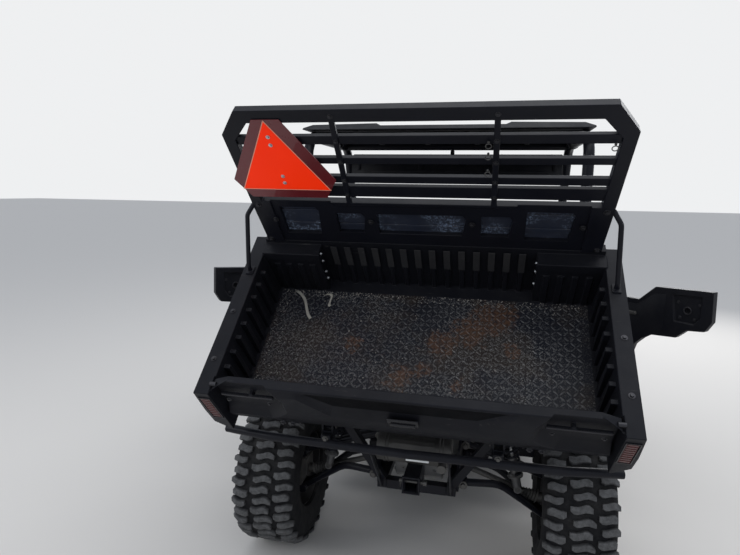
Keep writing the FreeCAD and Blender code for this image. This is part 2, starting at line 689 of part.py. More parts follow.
def bed_tub():
    rear_v, front_v = -5.0, BED_LEN
    half = [(BED_FLOOR_HALF_W, -BED_FLOOR_T), (BED_WALL_FOOT - 28, -BED_SKIRT),
            (BED_WALL_FOOT - 12, -BED_SKIRT), (BED_HALF_W + 7, 0), (BED_HALF_W + 9, 88),
            (BED_HALF_W, BED_RAIL_H)]
    shell = prism("y", half + [(-x, w) for x, w in reversed(half)], rear_v, front_v)
    front_lip = box(-BED_RAIL_IN, BED_RAIL_IN, BED_FRONT_V, front_v, BED_RAIL_H - 10, BED_FRONT_H)
    room = prism("y", [(-BED_FLOOR_HALF_W, 0), (BED_FLOOR_HALF_W, 0), (BED_RAIL_IN, 300),
                       (-BED_RAIL_IN, 300)], rear_v - 10, BED_FRONT_V)
    gateway = box(-GATE_HALF_W - CLEAR, GATE_HALF_W + CLEAR, rear_v - 10, GATE_V1 + CLEAR, -60, 300)
    lamp_pockets = both_sides([box(*TAIL_LAMP_X, rear_v - 1, TAIL_LAMP_DEPTH, *TAIL_LAMP_W)])
    tub = cut(fuse([shell, front_lip]), [room, gateway] + lamp_pockets)

    adds = []
    # ribs of the front wall and of the side walls: width, depth, pitch
    rib_w, rib_d, pitch = 26.0, 12.0, 60.0
    for i in range(-6, 8):
        x = (i - 0.5) * pitch
        adds.append(prism("z", [(x - rib_w / 2, BED_FRONT_V + 1), (x - rib_w / 2 + 5, BED_FRONT_V - rib_d),
                                (x + rib_w / 2 - 5, BED_FRONT_V - rib_d), (x + rib_w / 2, BED_FRONT_V + 1)],
                          -1, BED_RAIL_H - 6))
    sides = [box(BOX_X0, BED_RAIL_IN + 4, BOX_V0, BED_FRONT_V + 1, -1, BED_RAIL_H + 4),
             box(BOX_X0 - 5, BED_RAIL_IN + 1, BOX_V0 - 7, BOX_V0 + 1, BED_RAIL_H - 34, BED_RAIL_H + 8)]
    for i in range(4):
        x = BOX_X0 + 40 + i * 54.0
        sides.append(prism("z", [(x - 15, BOX_V0 + 1), (x - 10, BOX_V0 - 8), (x + 10, BOX_V0 - 8),
                                 (x + 15, BOX_V0 + 1)], -1, BED_RAIL_H - 60))
    for i in range(8):
        v = 130 + i * 66.0
        rib = [(v - rib_w / 2, -1), (v + rib_w / 2, -1), (v + rib_w / 2 - 4, BED_RAIL_H - 30),
               (v - rib_w / 2 + 4, BED_RAIL_H - 30)]
        sides.append(prism("x", rib, BED_FLOOR_HALF_W - rib_d, BED_FLOOR_HALF_W + 22))
    # channels under the floor, their hinge ears and the ears of the tailgate's hinge
    ear = [(BED_HINGE_V, BED_HINGE_W - 14), (BED_HINGE_V + 60, -BED_CHANNEL_W),
           (BED_HINGE_V + 60, -BED_FLOOR_T + 1), (BED_HINGE_V - 10, -BED_FLOOR_T + 1),
           (BED_HINGE_V - 15, BED_HINGE_W)]
    sides.append(prism("x", ear, BED_RAIL_X - 10, BED_RAIL_X + 10))
    sides.append(cylinder(V(BED_RAIL_X - 10, BED_HINGE_V, BED_HINGE_W),
                          V(BED_RAIL_X + 10, BED_HINGE_V, BED_HINGE_W), 16))
    sides.append(box(BED_RAIL_X - 25, BED_RAIL_X + 25, BED_HINGE_V + 45, BED_LEN - 40,
                     -BED_CHANNEL_W, -BED_FLOOR_T + 1))
    for x in (GATE_HINGE_X - 40, GATE_HINGE_X + 32):
        sides.append(box(x, x + 8, GATE_HINGE_V - 12, GATE_V1 + CLEAR + 1, GATE_HINGE_W - 12, -3))
    sides.append(cylinder(V(GATE_HINGE_X - 42, GATE_HINGE_V, GATE_HINGE_W),
                          V(GATE_HINGE_X + 42, GATE_HINGE_V, GATE_HINGE_W), 6))
    tub = fuse([tub] + adds + both_sides(sides))
    hinge_bores = both_sides([cylinder(V(BED_RAIL_X - 40, BED_HINGE_V, BED_HINGE_W),
                                       V(BED_RAIL_X + 40, BED_HINGE_V, BED_HINGE_W), 10 + RUN_GAP)])
    tub = cut(tub, hinge_bores)
    bracket = prism("x", [(STRUT_EYE_V - 16, STRUT_EYE_W - 16), (STRUT_EYE_V + 16, STRUT_EYE_W - 16),
                          (STRUT_EYE_V + 40, -BED_FLOOR_T + 1), (STRUT_EYE_V - 40, -BED_FLOOR_T + 1)],
                    STRUT_X + 14, STRUT_X + 22)
    pin = cylinder(V(STRUT_X + 9, STRUT_EYE_V, STRUT_EYE_W), V(STRUT_X + 20, STRUT_EYE_V, STRUT_EYE_W), 8)
    save("bed_tub", tipped(fuse([tub, bracket, pin])))


def tail_lamps():
    (x0, x1), (w0, w1) = TAIL_LAMP_X, TAIL_LAMP_W
    outline = [(x0, w0), (x1, w0), (x1, w1), (x0, w1)]
    lens = prism("y", outline, -7, TAIL_LAMP_DEPTH - SEAT_GAP, 8.0, -SEAT_GAP)
    save("tail_lamps", tipped(Part.makeCompound(both_sides([lens]))))


def tailgate():
    """Double-skinned gate: a sunken band below its cap, a scooped pocket and latch rod at each end."""
    face, top = GATE_V0, GATE_H
    side = [(26, 5), (GATE_V1, 5), (GATE_V1, top), (24, top), (face, top - 34), (face, 70), (18, 40)]
    panel = prism("x", side, -GATE_HALF_W, GATE_HALF_W)
    # half widths and heights of the band at the gate's face and at its back
    rows = []
    for v, half_top, top_w, half_foot, foot_w in ((face - 1, 400, top - 4, 262, top - 142),
                                                  (30, 366, top - 12, 252, top - 94)):
        rows.append([V(-half_top, v, top_w), V(half_top, v, top_w), V(half_foot, v, foot_w),
                     V(-half_foot, v, foot_w)])
    band = skin(rows)
    mouth = [(430, 196), (468, top + 4), (640, top + 4), (692, BED_RAIL_H), (692, 34), (512, 34),
             (432, 112)]
    back = [(464, 190), (496, top - 2), (628, top - 2), (692, BED_RAIL_H - 12), (692, 88), (530, 88),
            (464, 132)]
    pocket = skin([[V(x, face - 1, w) for x, w in mouth], [V(x, 46, w) for x, w in back]])
    shoulder = prism("y", [(GATE_HALF_W - 64, top + 1), (GATE_HALF_W + 1, BED_RAIL_H),
                           (GATE_HALF_W + 1, top + 1)], 0, 80)
    panel = cut(panel, [band] + both_sides([pocket, shoulder]))
    rod = [box(548, 560, 26, 48, 176, 204), box(470, 672, 22, 32, 182, 198)]
    x0, x1 = GATE_HINGE_X - 26, GATE_HINGE_X + 26
    knuckle = [prism("x", [(GATE_HINGE_V - 11, GATE_HINGE_W - 6), (GATE_HINGE_V + 11, GATE_HINGE_W - 6),
                           (GATE_HINGE_V + 11, 8), (GATE_HINGE_V - 11, 8)], x0, x1),
               cylinder(V(x0, GATE_HINGE_V, GATE_HINGE_W), V(x1, GATE_HINGE_V, GATE_HINGE_W), 11)]
    gate = fuse([panel] + both_sides(rod + knuckle))
    bores = both_sides([cylinder(V(x0 - 34, GATE_HINGE_V, GATE_HINGE_W),
                                 V(x1 + 34, GATE_HINGE_V, GATE_HINGE_W), 6 + RUN_GAP)])
    save("tailgate", tipped(cut(gate, bores)))


# openings of the rack's foot panel: x at the left and right, w at the bottom and top
RACK_WINDOWS = (
    (-577.0, -415.0, 309.0, 459.0),
    (-346.0, -229.0, 322.0, 430.0),
    (-179.0, 167.0, 322.0, 430.0),
    (225.0, 343.0, 322.0, 430.0),
    (390.0, 563.0, 309.0, 459.0),
)
# cross bars of the rack's grille: w at the bottom and top
RACK_BARS = ((766.0, 801.0), (680.0, 707.0), (590.0, 622.0), (522.0, 574.0))
RACK_UPRIGHTS = (-277.0, 269.0)


def bed_rack():
    v0, v1 = RACK_V - RACK_T / 2, RACK_V + RACK_T / 2
    foot = BED_FRONT_H + SEAT_GAP
    outline = [(-RACK_FOOT_HALF_W, foot), (-RACK_MID_HALF_W, RACK_MID_W), (-RACK_TOP_HALF_W, RACK_TOP_W),
               (RACK_TOP_HALF_W, RACK_TOP_W), (RACK_MID_HALF_W, RACK_MID_W), (RACK_FOOT_HALF_W, foot)]
    opening = [(-640, 495), (-650, 790), (-585, 862), (585, 862), (650, 790), (640, 495)]
    plate = prism("y", outline, v0, v1)
    holes = [prism("y", opening, v0 - 1, v1 + 1)]
    for x0, x1, w0, w1 in RACK_WINDOWS:
        holes.append(prism("y", [(x0, w0), (x1 - 14, w0), (x1, w1 - 20), (x1 - 14, w1), (x0, w1)],
                           v0 - 1, v1 + 1))
    # the foot panel is a pressed sheet, thinner than the tubes above it
    step = [(606, foot - 1), (606, 512), (386, 512), (330, 482)]
    thin = prism("y", step + [(-x, w) for x, w in reversed(step)], v0 - 1, v0 + 8)
    body = cut(plate, holes + [thin])
    bars = [box(-648, 648, RACK_V - 9, RACK_V + 9, w0, w1) for w0, w1 in RACK_BARS]
    bars += [box(x - 10, x + 10, v0, RACK_V - 4, 490, 870) for x in RACK_UPRIGHTS]
    stay = tube([V(722, 572, BED_RAIL_H + SEAT_GAP), V(722, 572, 262), V(712, 700, 440),
                 V(684, RACK_V, 470)], 9, 30)
    pad = box(706, 738, 552, 592, BED_RAIL_H + SEAT_GAP, BED_RAIL_H + 6)
    save("bed_rack", tipped(fuse([body] + bars + both_sides([stay, pad]))))


def smv_sign():
    """Slow vehicle triangle with cut corners, on a bracket bolted to the rack's bars."""
    face_v = RACK_V - RACK_T / 2 - 2
    reach = (SIGN_LONG + 2 * SIGN_SHORT) / (2 * 3 ** 0.5)
    outline = []
    for turn in (0, 120, 240):
        for x in (-SIGN_LONG / 2, SIGN_LONG / 2):
            a = radians(turn)
            outline.append((SIGN_X + x * cos(a) + reach * sin(a), SIGN_W + x * sin(a) - reach * cos(a)))
    plate = prism("y", outline, face_v - SIGN_T, face_v)
    bracket = box(SIGN_X - 22, SIGN_X + 22, face_v, RACK_V - 9 - SEAT_GAP, 596, 790)
    save("smv_sign", tipped(fuse([plate, bracket])))


# Strut that holds the bed up

def strut():
    foot = V(STRUT_X, STRUT_FOOT_Y, STRUT_FOOT_Z)
    eye = bed_point(STRUT_X, STRUT_EYE_V, STRUT_EYE_W)
    run = eye - foot
    length = run.Length
    run.normalize()
    across = V(8, 0, 0)
    barrel = fuse([cylinder(foot + run * 8, foot + run * STRUT_BARREL_LEN, STRUT_BARREL_R),
                   cylinder(foot - across, foot + across, 16)])
    bore = cylinder(foot + run * 40, foot + run * (STRUT_BARREL_LEN + 10), STRUT_ROD_R + RUN_GAP)
    pin_bore = cylinder(foot - across * 3, foot + across * 3, 8 + RUN_GAP)
    save("strut_barrel", cut(barrel, [bore, pin_bore]))
    rod = fuse([cylinder(eye - run * (length - STRUT_BARREL_LEN + 60), eye - run * 6, STRUT_ROD_R),
                cylinder(eye - across, eye + across, 14)])
    save("strut_rod", rod)


# Cab

def rops():
    """Cage of round tube: two side hoops with cross tubes between them."""
    x = SILL_X
    foot_z = COWL_Z + REAR_RAIL + SEAT_GAP
    lean = (HOOP_BASE_Y - HOOP_FRONT_Y) / (HOOP_TOP_Z - foot_z)
    line = [V(x, HOOP_BASE_Y + 40 * lean, foot_z - 40), V(x, HOOP_FRONT_Y, HOOP_TOP_Z),
            V(x, HOOP_REAR_Y, HOOP_TOP_Z), V(x, HOOP_REAR_Y, RAIL_Z + RAIL + SEAT_GAP)]
    hoop = tube(line, HOOP_R, HOOP_BEND)
    hoop = cut(hoop, [box(x - 60, x + 60, HOOP_BASE_Y - 60, HOOP_BASE_Y + 90, foot_z - 90, foot_z)])
    # cross tubes: y, z
    crossings = ((HOOP_REAR_Y + 60, HOOP_TOP_Z), (HOOP_FRONT_Y - 60, HOOP_TOP_Z), (HOOP_REAR_Y, 1270.0),
                 (HOOP_REAR_Y, 880.0))
    bars = [bar_x(x, y, z, HOOP_R - 3) for y, z in crossings]
    save("rops", fuse([hoop, mirrored(hoop)] + bars))


def roof():
    """Moulded roof with a sunken middle panel, cut back at its front and rear edges."""
    z, half = HOOP_TOP_Z + HOOP_R + SEAT_GAP, SILL_X + 20
    outline = [(-half, z), (half, z), (half, z + 10), (half - 46, z + 28), (330, z + 34), (306, z + 22),
               (-306, z + 22), (-330, z + 34), (-half + 46, z + 28), (-half, z + 10)]
    front, rear = HOOP_FRONT_Y + 70, HOOP_REAR_Y - 40
    shell = prism("y", outline, rear, front)
    ends = [prism("x", [(edge, z - 1), (edge, z + 40), (top, z + 40)], -half - 1, half + 1)
            for edge, top in ((front + 1, front - 90), (rear - 1, rear + 50))]
    save("roof", cut(shell, ends))


def floor_pan():
    half, z = DOOR_POST_X0 - 2, RAIL_Z + RAIL + SEAT_GAP
    y0, y1 = HOOP_REAR_Y + 26, COWL_Y - REAR_RAIL / 2 - SEAT_GAP
    wall_top = COWL_Z + REAR_RAIL
    outline = [(y0, z), (y1, z), (y1, wall_top), (y1 - FLOOR_T, wall_top), (y1 - FLOOR_T, z + 130),
               (y1 - 110, z + FLOOR_T), (y0, z + FLOOR_T)]
    sheet = prism("x", outline, -half, half)
    tunnel = box(-TUNNEL_HALF_W, TUNNEL_HALF_W, y0, y1, z, TUNNEL_TOP)
    bore = box(-TUNNEL_HALF_W + FLOOR_T, TUNNEL_HALF_W - FLOOR_T, y0 - 1, y1 + 1, z - 1,
               TUNNEL_TOP - FLOOR_T)
    save("floor_pan", cut(fuse([sheet, tunnel]), [bore]))


def cab_back():
    z = RAIL_Z + RAIL + SEAT_GAP
    y = HOOP_REAR_Y - 8
    half = SEAT_HALF_W + 7
    panel = box(-half, half, y, y + 6, z, 850)
    ribs = [box(x - 12, x + 12, y - 8, y + 1, 745, 840) for x in (-560, -420, 420, 560)]
    notch = box(-TUNNEL_HALF_W, TUNNEL_HALF_W, y - 1, y + 7, z - 1, TUNNEL_TOP)
    save("cab_back", cut(fuse([panel] + ribs), [notch]))


def side_panels():
    """Rocker and rear quarter below each half door, as one moulding a side."""
    rear = 385.0
    front, post_y = COWL_Y + 25, DOOR_HINGE_Y + 38
    outline = [(rear, 400), (rear + 40, 345), (front, 345), (front, COWL_Z + REAR_RAIL),
               (post_y + 40, 1050), (post_y, 1010), (post_y, SILL_TOP_Z), (844, SILL_TOP_Z),
               (820, 650), (764, 822), (700, 900), (rear, 900)]
    panel = prism("x", outline, SIDE_X0, SIDE_X1)
    hollow = prism("x", [(rear + 30, 430), (front - 20, 430), (front - 20, 960), (post_y + 20, 980),
                         (post_y + 20, SILL_TOP_Z - 20), (830, SILL_TOP_Z - 20), (740, 800), (690, 870),
                         (rear + 30, 870)], SIDE_X0 - 1, SIDE_X1 - 6)
    save("side_panels", Part.makeCompound(both_sides([cut(panel, [hollow])])))


def seat_base():
    """Open-fronted moulded box under the bench."""
    z = RAIL_Z + RAIL + 2 * SEAT_GAP + FLOOR_T
    y0, wall = SEAT_Y0, 10.0
    top = SEAT_Z - SEAT_GAP
    shell = prism("x", [(y0, z), (SEAT_Y1 - 60, z), (SEAT_Y1, top), (y0, top)], -SEAT_HALF_W, SEAT_HALF_W)
    rooms = [box(x0, x1, y0 + wall, SEAT_Y1 + 10, z + wall, top - wall)
             for x0, x1 in ((-SEAT_HALF_W + wall, -220), (-210, 210), (220, SEAT_HALF_W - wall))]
    half = TUNNEL_HALF_W + SEAT_GAP
    rooms.append(box(-half, half, y0 - 1, SEAT_Y1 + 1, z - 1, TUNNEL_TOP + SEAT_GAP))
    save("seat_base", cut(shell, rooms))


def seat_cushion():
    outline = [(SEAT_Y0 + 20, SEAT_Z), (SEAT_Y1 + 10, SEAT_Z), (SEAT_Y1 + 20, SEAT_Z + 105),
               (SEAT_Y0 + 20, SEAT_Z + 85)]
    save("seat_cushion", prism("x", outline, -SEAT_HALF_W + 5, SEAT_HALF_W - 5))


# place of each seat back across the cab: left side, right side
SEAT_BACKS = ((5 - SEAT_HALF_W, -222.0), (-212.0, 212.0), (222.0, SEAT_HALF_W - 5))


def seat_backs():
    shapes = []
    foot = SEAT_Z + 105 + SEAT_GAP
    for x0, x1 in SEAT_BACKS:
        back = prism("x", [(600, foot), (500, foot), (462, 860), (SEAT_Y0, 1310), (460, 1330), (515, 1330),
                           (535, 1310), (560, 1000)], x0, x1)
        mid = (x0 + x1) / 2
        head = prism("x", [(520, 1380), (450, 1380), (438, 1400), (440, 1485), (455, 1500), (500, 1500),
                           (515, 1480), (528, 1400)], mid - 115, mid + 115)
        posts = [tube([V(mid + s, 488, 1320), V(mid + s, 484, 1390)], 7) for s in (-55, 55)]
        # stays that stand on the seat base behind the cushion
        stays = [prism("x", [(SEAT_Y0 + 2, SEAT_Z), (SEAT_Y0 + 17, SEAT_Z), (SEAT_Y0 + 17, 805), (500, 860),
                             (500, 900), (SEAT_Y0 + 2, 880)], mid + s - 15, mid + s + 15)
                 for s in (-140, 140)]
        shapes.append(fuse([back, head] + posts + stays))
    save("seat_backs", Part.makeCompound(shapes))


def dash():
    """Dashboard with a hollow knee side, from the cowl back over the driver's knees."""
    front = COWL_Y - REAR_RAIL / 2 - SEAT_GAP
    rear = COWL_Y - 270
    base = COWL_Z + REAR_RAIL + SEAT_GAP
    half = SEAT_HALF_W + 5
    outline = [(front + 60, base), (front + 60, 1150), (front - 60, 1185), (rear + 60, 1165), (rear, 1110),
               (rear + 20, 1000), (rear + 60, 905), (rear + 130, 905), (rear + 180, base)]
    body = prism("x", outline, -half, half)
    hollow = prism("x", [(front + 40, base - 1), (front + 40, 1120), (rear + 100, 1130), (rear + 40, 1085),
                         (rear + 55, 1010), (rear + 80, 925), (rear + 130, 925), (rear + 160, base - 1)],
                   20 - half, half - 20)
    shelf = box(200, 560, rear - 10, rear + 160, 1020, 1085)
    hub, up = V(DRIVER_X, WHEEL_Y, WHEEL_Z), column_frame()
    bore = cylinder(hub - up * (COLUMN_LEN + 40), hub - up * (COLUMN_LEN - 140), COLUMN_R + SEAT_GAP)
    save("dash", cut(body, [hollow, shelf, bore]))


def column_frame():
    """Direction of the column from the dash up to the wheel."""
    a = radians(COLUMN_TILT)
    return V(0, -cos(a), sin(a))


def controls():
    """Steering column jacket, pedals and shift lever, which the dash and floor carry."""
    up = column_frame()
    hub = V(DRIVER_X, WHEEL_Y, WHEEL_Z)
    jacket = cut(cylinder(hub - up * COLUMN_LEN, hub - up * 40, COLUMN_R),
                 [cylinder(hub - up * 130, hub - up * 30, 12 + RUN_GAP)])
    wall = COWL_Y - REAR_RAIL / 2 - FLOOR_T - 2 * SEAT_GAP
    pedals = []
    for x, w in ((DRIVER_X - 60, 80), (DRIVER_X + 70, 50)):
        y = COWL_Y - 220
        pad = prism("x", [(y, 520), (y + 10, 520), (y + 35, 600), (y + 25, 600)], x - w / 2, x + w / 2)
        stem = tube([V(x, y + 20, 580), V(x, y + 110, 650), V(x, wall, 650)], 8, 20)
        pedals.append(fuse([pad, stem]))
    seat = V(-150, COWL_Y - 260.3, 1055)
    knob = V(-150, COWL_Y - 325, 1120)
    lever = fuse([tube([seat, seat + V(0, -34, -6), knob], 7, 18),
                  tube([knob - V(0, 0, 16), knob + V(0, 0, 20)], 18)])
    save("controls", Part.makeCompound([jacket, lever] + pedals))


def steering_wheel():
    """Wheel drawn flat about the z axis, then tilted to the column."""
    section = [(14 * cos(pi * k / 4), WHEEL_R - 14 + 14 * sin(pi * k / 4)) for k in range(8)]
    rim_ring = turned(section, 28)
    rim_ring.rotate(V(0, 0, 0), V(0, 1, 0), 90)
    hub = tube([V(0, 0, -20), V(0, 0, 10)], 34)
    shaft = Part.makeCylinder(12, 100, V(0, 0, -110))
    spokes = []
    for turn in (90, 210, 330):
        spoke = box(10, WHEEL_R - 18, -15, 15, -5, 5)
        spoke.rotate(V(0, 0, 0), V(0, 0, 1), turn)
        spokes.append(spoke)
    shape = fuse([rim_ring, hub, shaft] + spokes)
    shape.rotate(V(0, 0, 0), V(1, 0, 0), 90 - COLUMN_TILT)
    shape.translate(V(DRIVER_X, WHEEL_Y, WHEEL_Z))
    save("steering_wheel", shape)


def mirror():
    z = HOOP_TOP_Z - 75
    y = HOOP_FRONT_Y - 60
    glass = prism("y", [(-130, z - 34), (130, z - 34), (140, z + 24), (-140, z + 24)], y - 14, y, 14.0)
    stem = box(-12, 12, y - 10, y + 6, z + 20, HOOP_TOP_Z - HOOP_R + 3 - SEAT_GAP)
    save("mirror", fuse([glass, stem]))


# Nose

def hood():
    """Hood with a raised middle panel, through the nose's sections."""
    outer, inner = [], []
    for y, half, edge, crown, _ in NOSE_SECTIONS:
        top, brow = crown - 12, crown - 34
        outline = [(-half, edge), (-half + 46, brow), (-0.56 * half, top), (-0.5 * half, crown)]
        outline += [(-x, z) for x, z in reversed(outline)]
        outer.append([V(x, y, z) for x, z in outline])
        w = NOSE_WALL
        inner.append([V(-half + w, y, edge - w), V(-half + 46 + w, y, brow - w), V(0, y, top - w),
                      V(half - 46 - w, y, brow - w), V(half - w, y, edge - w)])
    save("hood", cut(skin(outer), [skin(inner)]))


def front_fascia():
    outline = [(-470, 540), (470, 540), (560, 590), (728, 640), (728, 776), (404, 856), (386, 922),
               (-386, 922), (-404, 856), (-728, 776), (-728, 640), (-560, 590)]
    panel = prism("y", outline, NOSE_Y - FASCIA_T, NOSE_Y + 12)
    grille = prism("y", [(-330, 600), (330, 600), (392, 700), (300, 838), (-300, 838), (-392, 700)],
                   NOSE_Y - 60, NOSE_Y + 40)
    lamps = both_sides([prism("y", HEAD_LAMP_OUTLINE, NOSE_Y - 60, NOSE_Y + 40, grow=SEAT_GAP)])
    slats = [box(-half, half, NOSE_Y - 14, NOSE_Y, z, z + 16)
             for z, half in ((640, 364), (690, 390), (740, 368), (790, 336))]
    slats += [box(x - 6, x + 6, NOSE_Y - 20, NOSE_Y - 10, 598, 840) for x in (-210, -70, 70, 210)]
    save("front_fascia", fuse([cut(panel, [grille] + lamps)] + slats))


def headlamps():
    lens = prism("y", HEAD_LAMP_OUTLINE, NOSE_Y - 24, NOSE_Y + 6)
    save("headlamps", Part.makeCompound(both_sides([lens])))


def front_fenders():
    """Fenders from the hood's edges out over the front wheels, and the splash walls behind them."""
    rows = []
    for y, half, edge, _, shoulder in NOSE_SECTIONS:
        lip = TYRE_R + (ARCH_R ** 2 - (y - WHEELBASE) ** 2) ** 0.5
        top, w = edge - SEAT_GAP, NOSE_WALL
        outline = ((half - 10, top), (half + 4, top), (FENDER_SHOULDER_X, shoulder), (FENDER_LIP_X, lip),
                   (FENDER_LIP_X - w, lip), (FENDER_SHOULDER_X - w, shoulder - w),
                   (half + 4, top - 2 * w), (half - 10, top - 2 * w))
        rows.append([V(x, y, z) for x, z in outline])
    wall = box(FRONT_RAIL_X + 60, SIDE_X1, COWL_Y + 25 + SEAT_GAP, COWL_Y + 42, 480, COWL_Z + REAR_RAIL)
    save("front_fenders", Part.makeCompound(both_sides([fuse([skin(rows), wall])])))


def brush_guard():
    y = NOSE_Y + 45
    hoop = tube([V(-330, y, 420), V(-330, y, 800), V(330, y, 800), V(330, y, 420)], 19, 90)
    bars = [bar_x(330, y, z, 15) for z in (480, 640)]
    foot = RAIL_FRONT_Y + SEAT_GAP
    feet = both_sides([prism("x", [(foot, RAIL_Z + 3), (foot, RAIL_Z + 47), (y, 490), (y, 468)],
                             RAIL_X - 18, RAIL_X + 18)])
    save("brush_guard", fuse([hoop] + bars + feet))


# Rear bumper and hitch

def rear_bumper():
    r, z = 17.0, 700.0
    line = [V(-767, -405, z), V(-560, -438, z), V(0, -450, z), V(560, -438, z), V(767, -405, z)]
    bar = tube(line, r, 200)
    tabs = [box(BED_RAIL_X - 18, BED_RAIL_X + 18, -444, BED_RAIL_END_Y - SEAT_GAP, z + 4, z + 34)]
    end = REAR_RAIL_END_Y - SEAT_GAP
    tabs.append(prism("x", [(end, 402), (end, 438), (-432, 706), (-452, 694)],
                      REAR_RAIL_X - 4, REAR_RAIL_X + 4))
    save("rear_bumper", fuse([bar] + both_sides(tabs)))


def hitch_receiver():
    """Square receiver on a foot that stands on the rear rails' last cross tube."""
    half, room = HITCH_HALF, HITCH_ROOM
    front = REAR_RAIL_END_Y + REAR_RAIL
    foot_z = REAR_RAIL_Z + REAR_RAIL + SEAT_GAP
    pin_y = HITCH_Y + HITCH_PIN_IN
    tube_ = box(-half, half, HITCH_Y, front, HITCH_Z - half, HITCH_Z + half)
    foot = box(-half, half, REAR_RAIL_END_Y, front, foot_z, HITCH_Z - half + 1)
    mouth = box(-room, room, HITCH_Y - 1, front - 8, HITCH_Z - room, HITCH_Z + room)
    pin_hole = cylinder(V(-2 * half, pin_y, HITCH_Z), V(2 * half, pin_y, HITCH_Z), HITCH_PIN_R)
    save("hitch_receiver", cut(fuse([tube_, foot]), [mouth, pin_hole]))


# Half doors, drawn closed on the right side

# outline of the half door: distance back from the hinge line, height
DOOR_OUTLINE = ((26, 1100), (508, 1103), (598, 1188), (899, 1204), (904, 1048), (872, 993), (782, 980),
                (729, 931), (565, 913), (500, 837), (440, 640), (400, 604), (60, 604), (26, 640))
LATCH_S = 775.0
LATCH_Z = 1086.0


def doors():
    x0, x1 = DOOR_INNER_X, DOOR_INNER_X + DOOR_T
    outline = [(DOOR_HINGE_Y - s, z) for s, z in DOOR_OUTLINE]
    panel = prism("x", outline, x0, x1)
    latch_y = DOOR_HINGE_Y - LATCH_S
    recess = prism("x", [(latch_y - 70, 1060), (latch_y - 70, 1170), (latch_y + 80, 1160),
                         (latch_y + 60, 1020), (latch_y - 40, 1020)], x0 - 1, x0 + 10)
    hole = cylinder(V(x0 - 5, latch_y, LATCH_Z), V(x0 + 24, latch_y, LATCH_Z), 17)
    eyes, bores = [], []
    for z in DOOR_HINGE_Z:
        pin, low, high = V(DOOR_HINGE_X, DOOR_HINGE_Y, z), V(0, 0, -19), V(0, 0, 19)
        eyes.append(cylinder(pin + low, pin + high, 14))
        eyes.append(box(DOOR_HINGE_X - 6, DOOR_HINGE_X + 6, DOOR_HINGE_Y - 40, DOOR_HINGE_Y, z - 19, z + 19))
        bores.append(cylinder(pin + low * 2, pin + high * 2, 8 + RUN_GAP))
    right = cut(fuse([panel] + eyes), [recess, hole] + bores)
    right.rotate(V(DOOR_HINGE_X, DOOR_HINGE_Y, 0), V(0, 0, 1), DOOR_OPEN)
    save("door_right", right)
    save("door_left", mirrored(right))


def main():
    os.makedirs(OUT, exist_ok=True)
    for build in (wheels, frame, upper_frame, skid_plate, powertrain, muffler, arms, shocks, rear_carriers,
                  drive_shafts, knuckles, tie_rods, bed_tub, tail_lamps, tailgate, bed_rack,
                  smv_sign, strut, rops, roof, floor_pan, cab_back, side_panels, seat_base,
                  seat_cushion, seat_backs, dash, controls, steering_wheel, mirror, hood,
                  front_fascia, headlamps, front_fenders, brush_guard, rear_bumper,
                  hitch_receiver, doors):
        build()


main()
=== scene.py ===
"""Side by side utility vehicle seen from behind, with its bed tipped and both half doors open.

Metres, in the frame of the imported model: +X to the vehicle's right, +Y forward, +Z up.
"""
import json
from math import cos, pi, radians, sin
from random import Random

import bmesh
import bpy
import numpy
from mathutils import Matrix, Vector


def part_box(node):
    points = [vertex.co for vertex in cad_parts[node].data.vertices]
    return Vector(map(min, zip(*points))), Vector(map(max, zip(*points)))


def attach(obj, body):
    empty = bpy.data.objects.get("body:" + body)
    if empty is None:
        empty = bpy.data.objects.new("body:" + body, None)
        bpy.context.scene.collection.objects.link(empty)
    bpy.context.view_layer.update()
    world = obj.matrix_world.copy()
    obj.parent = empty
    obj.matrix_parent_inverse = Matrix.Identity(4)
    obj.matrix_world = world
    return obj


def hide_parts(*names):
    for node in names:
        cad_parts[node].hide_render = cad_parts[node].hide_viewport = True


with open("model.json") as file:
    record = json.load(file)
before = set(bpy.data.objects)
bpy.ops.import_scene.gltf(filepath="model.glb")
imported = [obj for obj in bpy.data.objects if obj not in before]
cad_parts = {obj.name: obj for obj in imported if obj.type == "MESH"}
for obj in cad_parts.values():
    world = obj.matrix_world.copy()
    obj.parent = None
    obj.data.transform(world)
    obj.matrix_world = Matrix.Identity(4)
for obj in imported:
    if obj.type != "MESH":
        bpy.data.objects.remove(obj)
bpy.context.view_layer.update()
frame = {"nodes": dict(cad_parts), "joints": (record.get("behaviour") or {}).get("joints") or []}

# Camera. A phone held at standing height behind the bed, a little right of its middle. It was
# fitted to the photograph from the tyres, the level ground and the bed's straight edges.
scene = bpy.context.scene
PHOTO_WIDTH_PX = 740
FOCAL_LENGTH_PX = 548.7
EYE = Vector((0.2736, -3.294, 1.6818))
YAW_LEFT, PITCH_DOWN, ROLL = 0.2203, 0.1566, 0.0158
look = Vector((-sin(YAW_LEFT) * cos(PITCH_DOWN), cos(YAW_LEFT) * cos(PITCH_DOWN), -sin(PITCH_DOWN)))
level_right = Vector((cos(YAW_LEFT), sin(YAW_LEFT), 0))
level_up = level_right.cross(look)
right = level_right * cos(ROLL) + level_up * sin(ROLL)
up = level_up * cos(ROLL) - level_right * sin(ROLL)
camera = bpy.data.objects.new("camera", bpy.data.cameras.new("camera"))
camera.data.sensor_width = 36.0
camera.data.lens = FOCAL_LENGTH_PX / PHOTO_WIDTH_PX * camera.data.sensor_width
camera.data.clip_start, camera.data.clip_end = 0.05, 200.0
camera.matrix_world = Matrix.Translation(EYE) @ Matrix((right, up, -look)).transposed().to_4x4()
scene.collection.objects.link(camera)
scene.camera = camera

# Floor, lamps and sky. A plain pale studio floor, a large soft lamp overhead, one from the left and
# one from the front that draw the edges, and a sky whose seen colour is nearly white.
scene.view_settings.view_transform = "Standard"


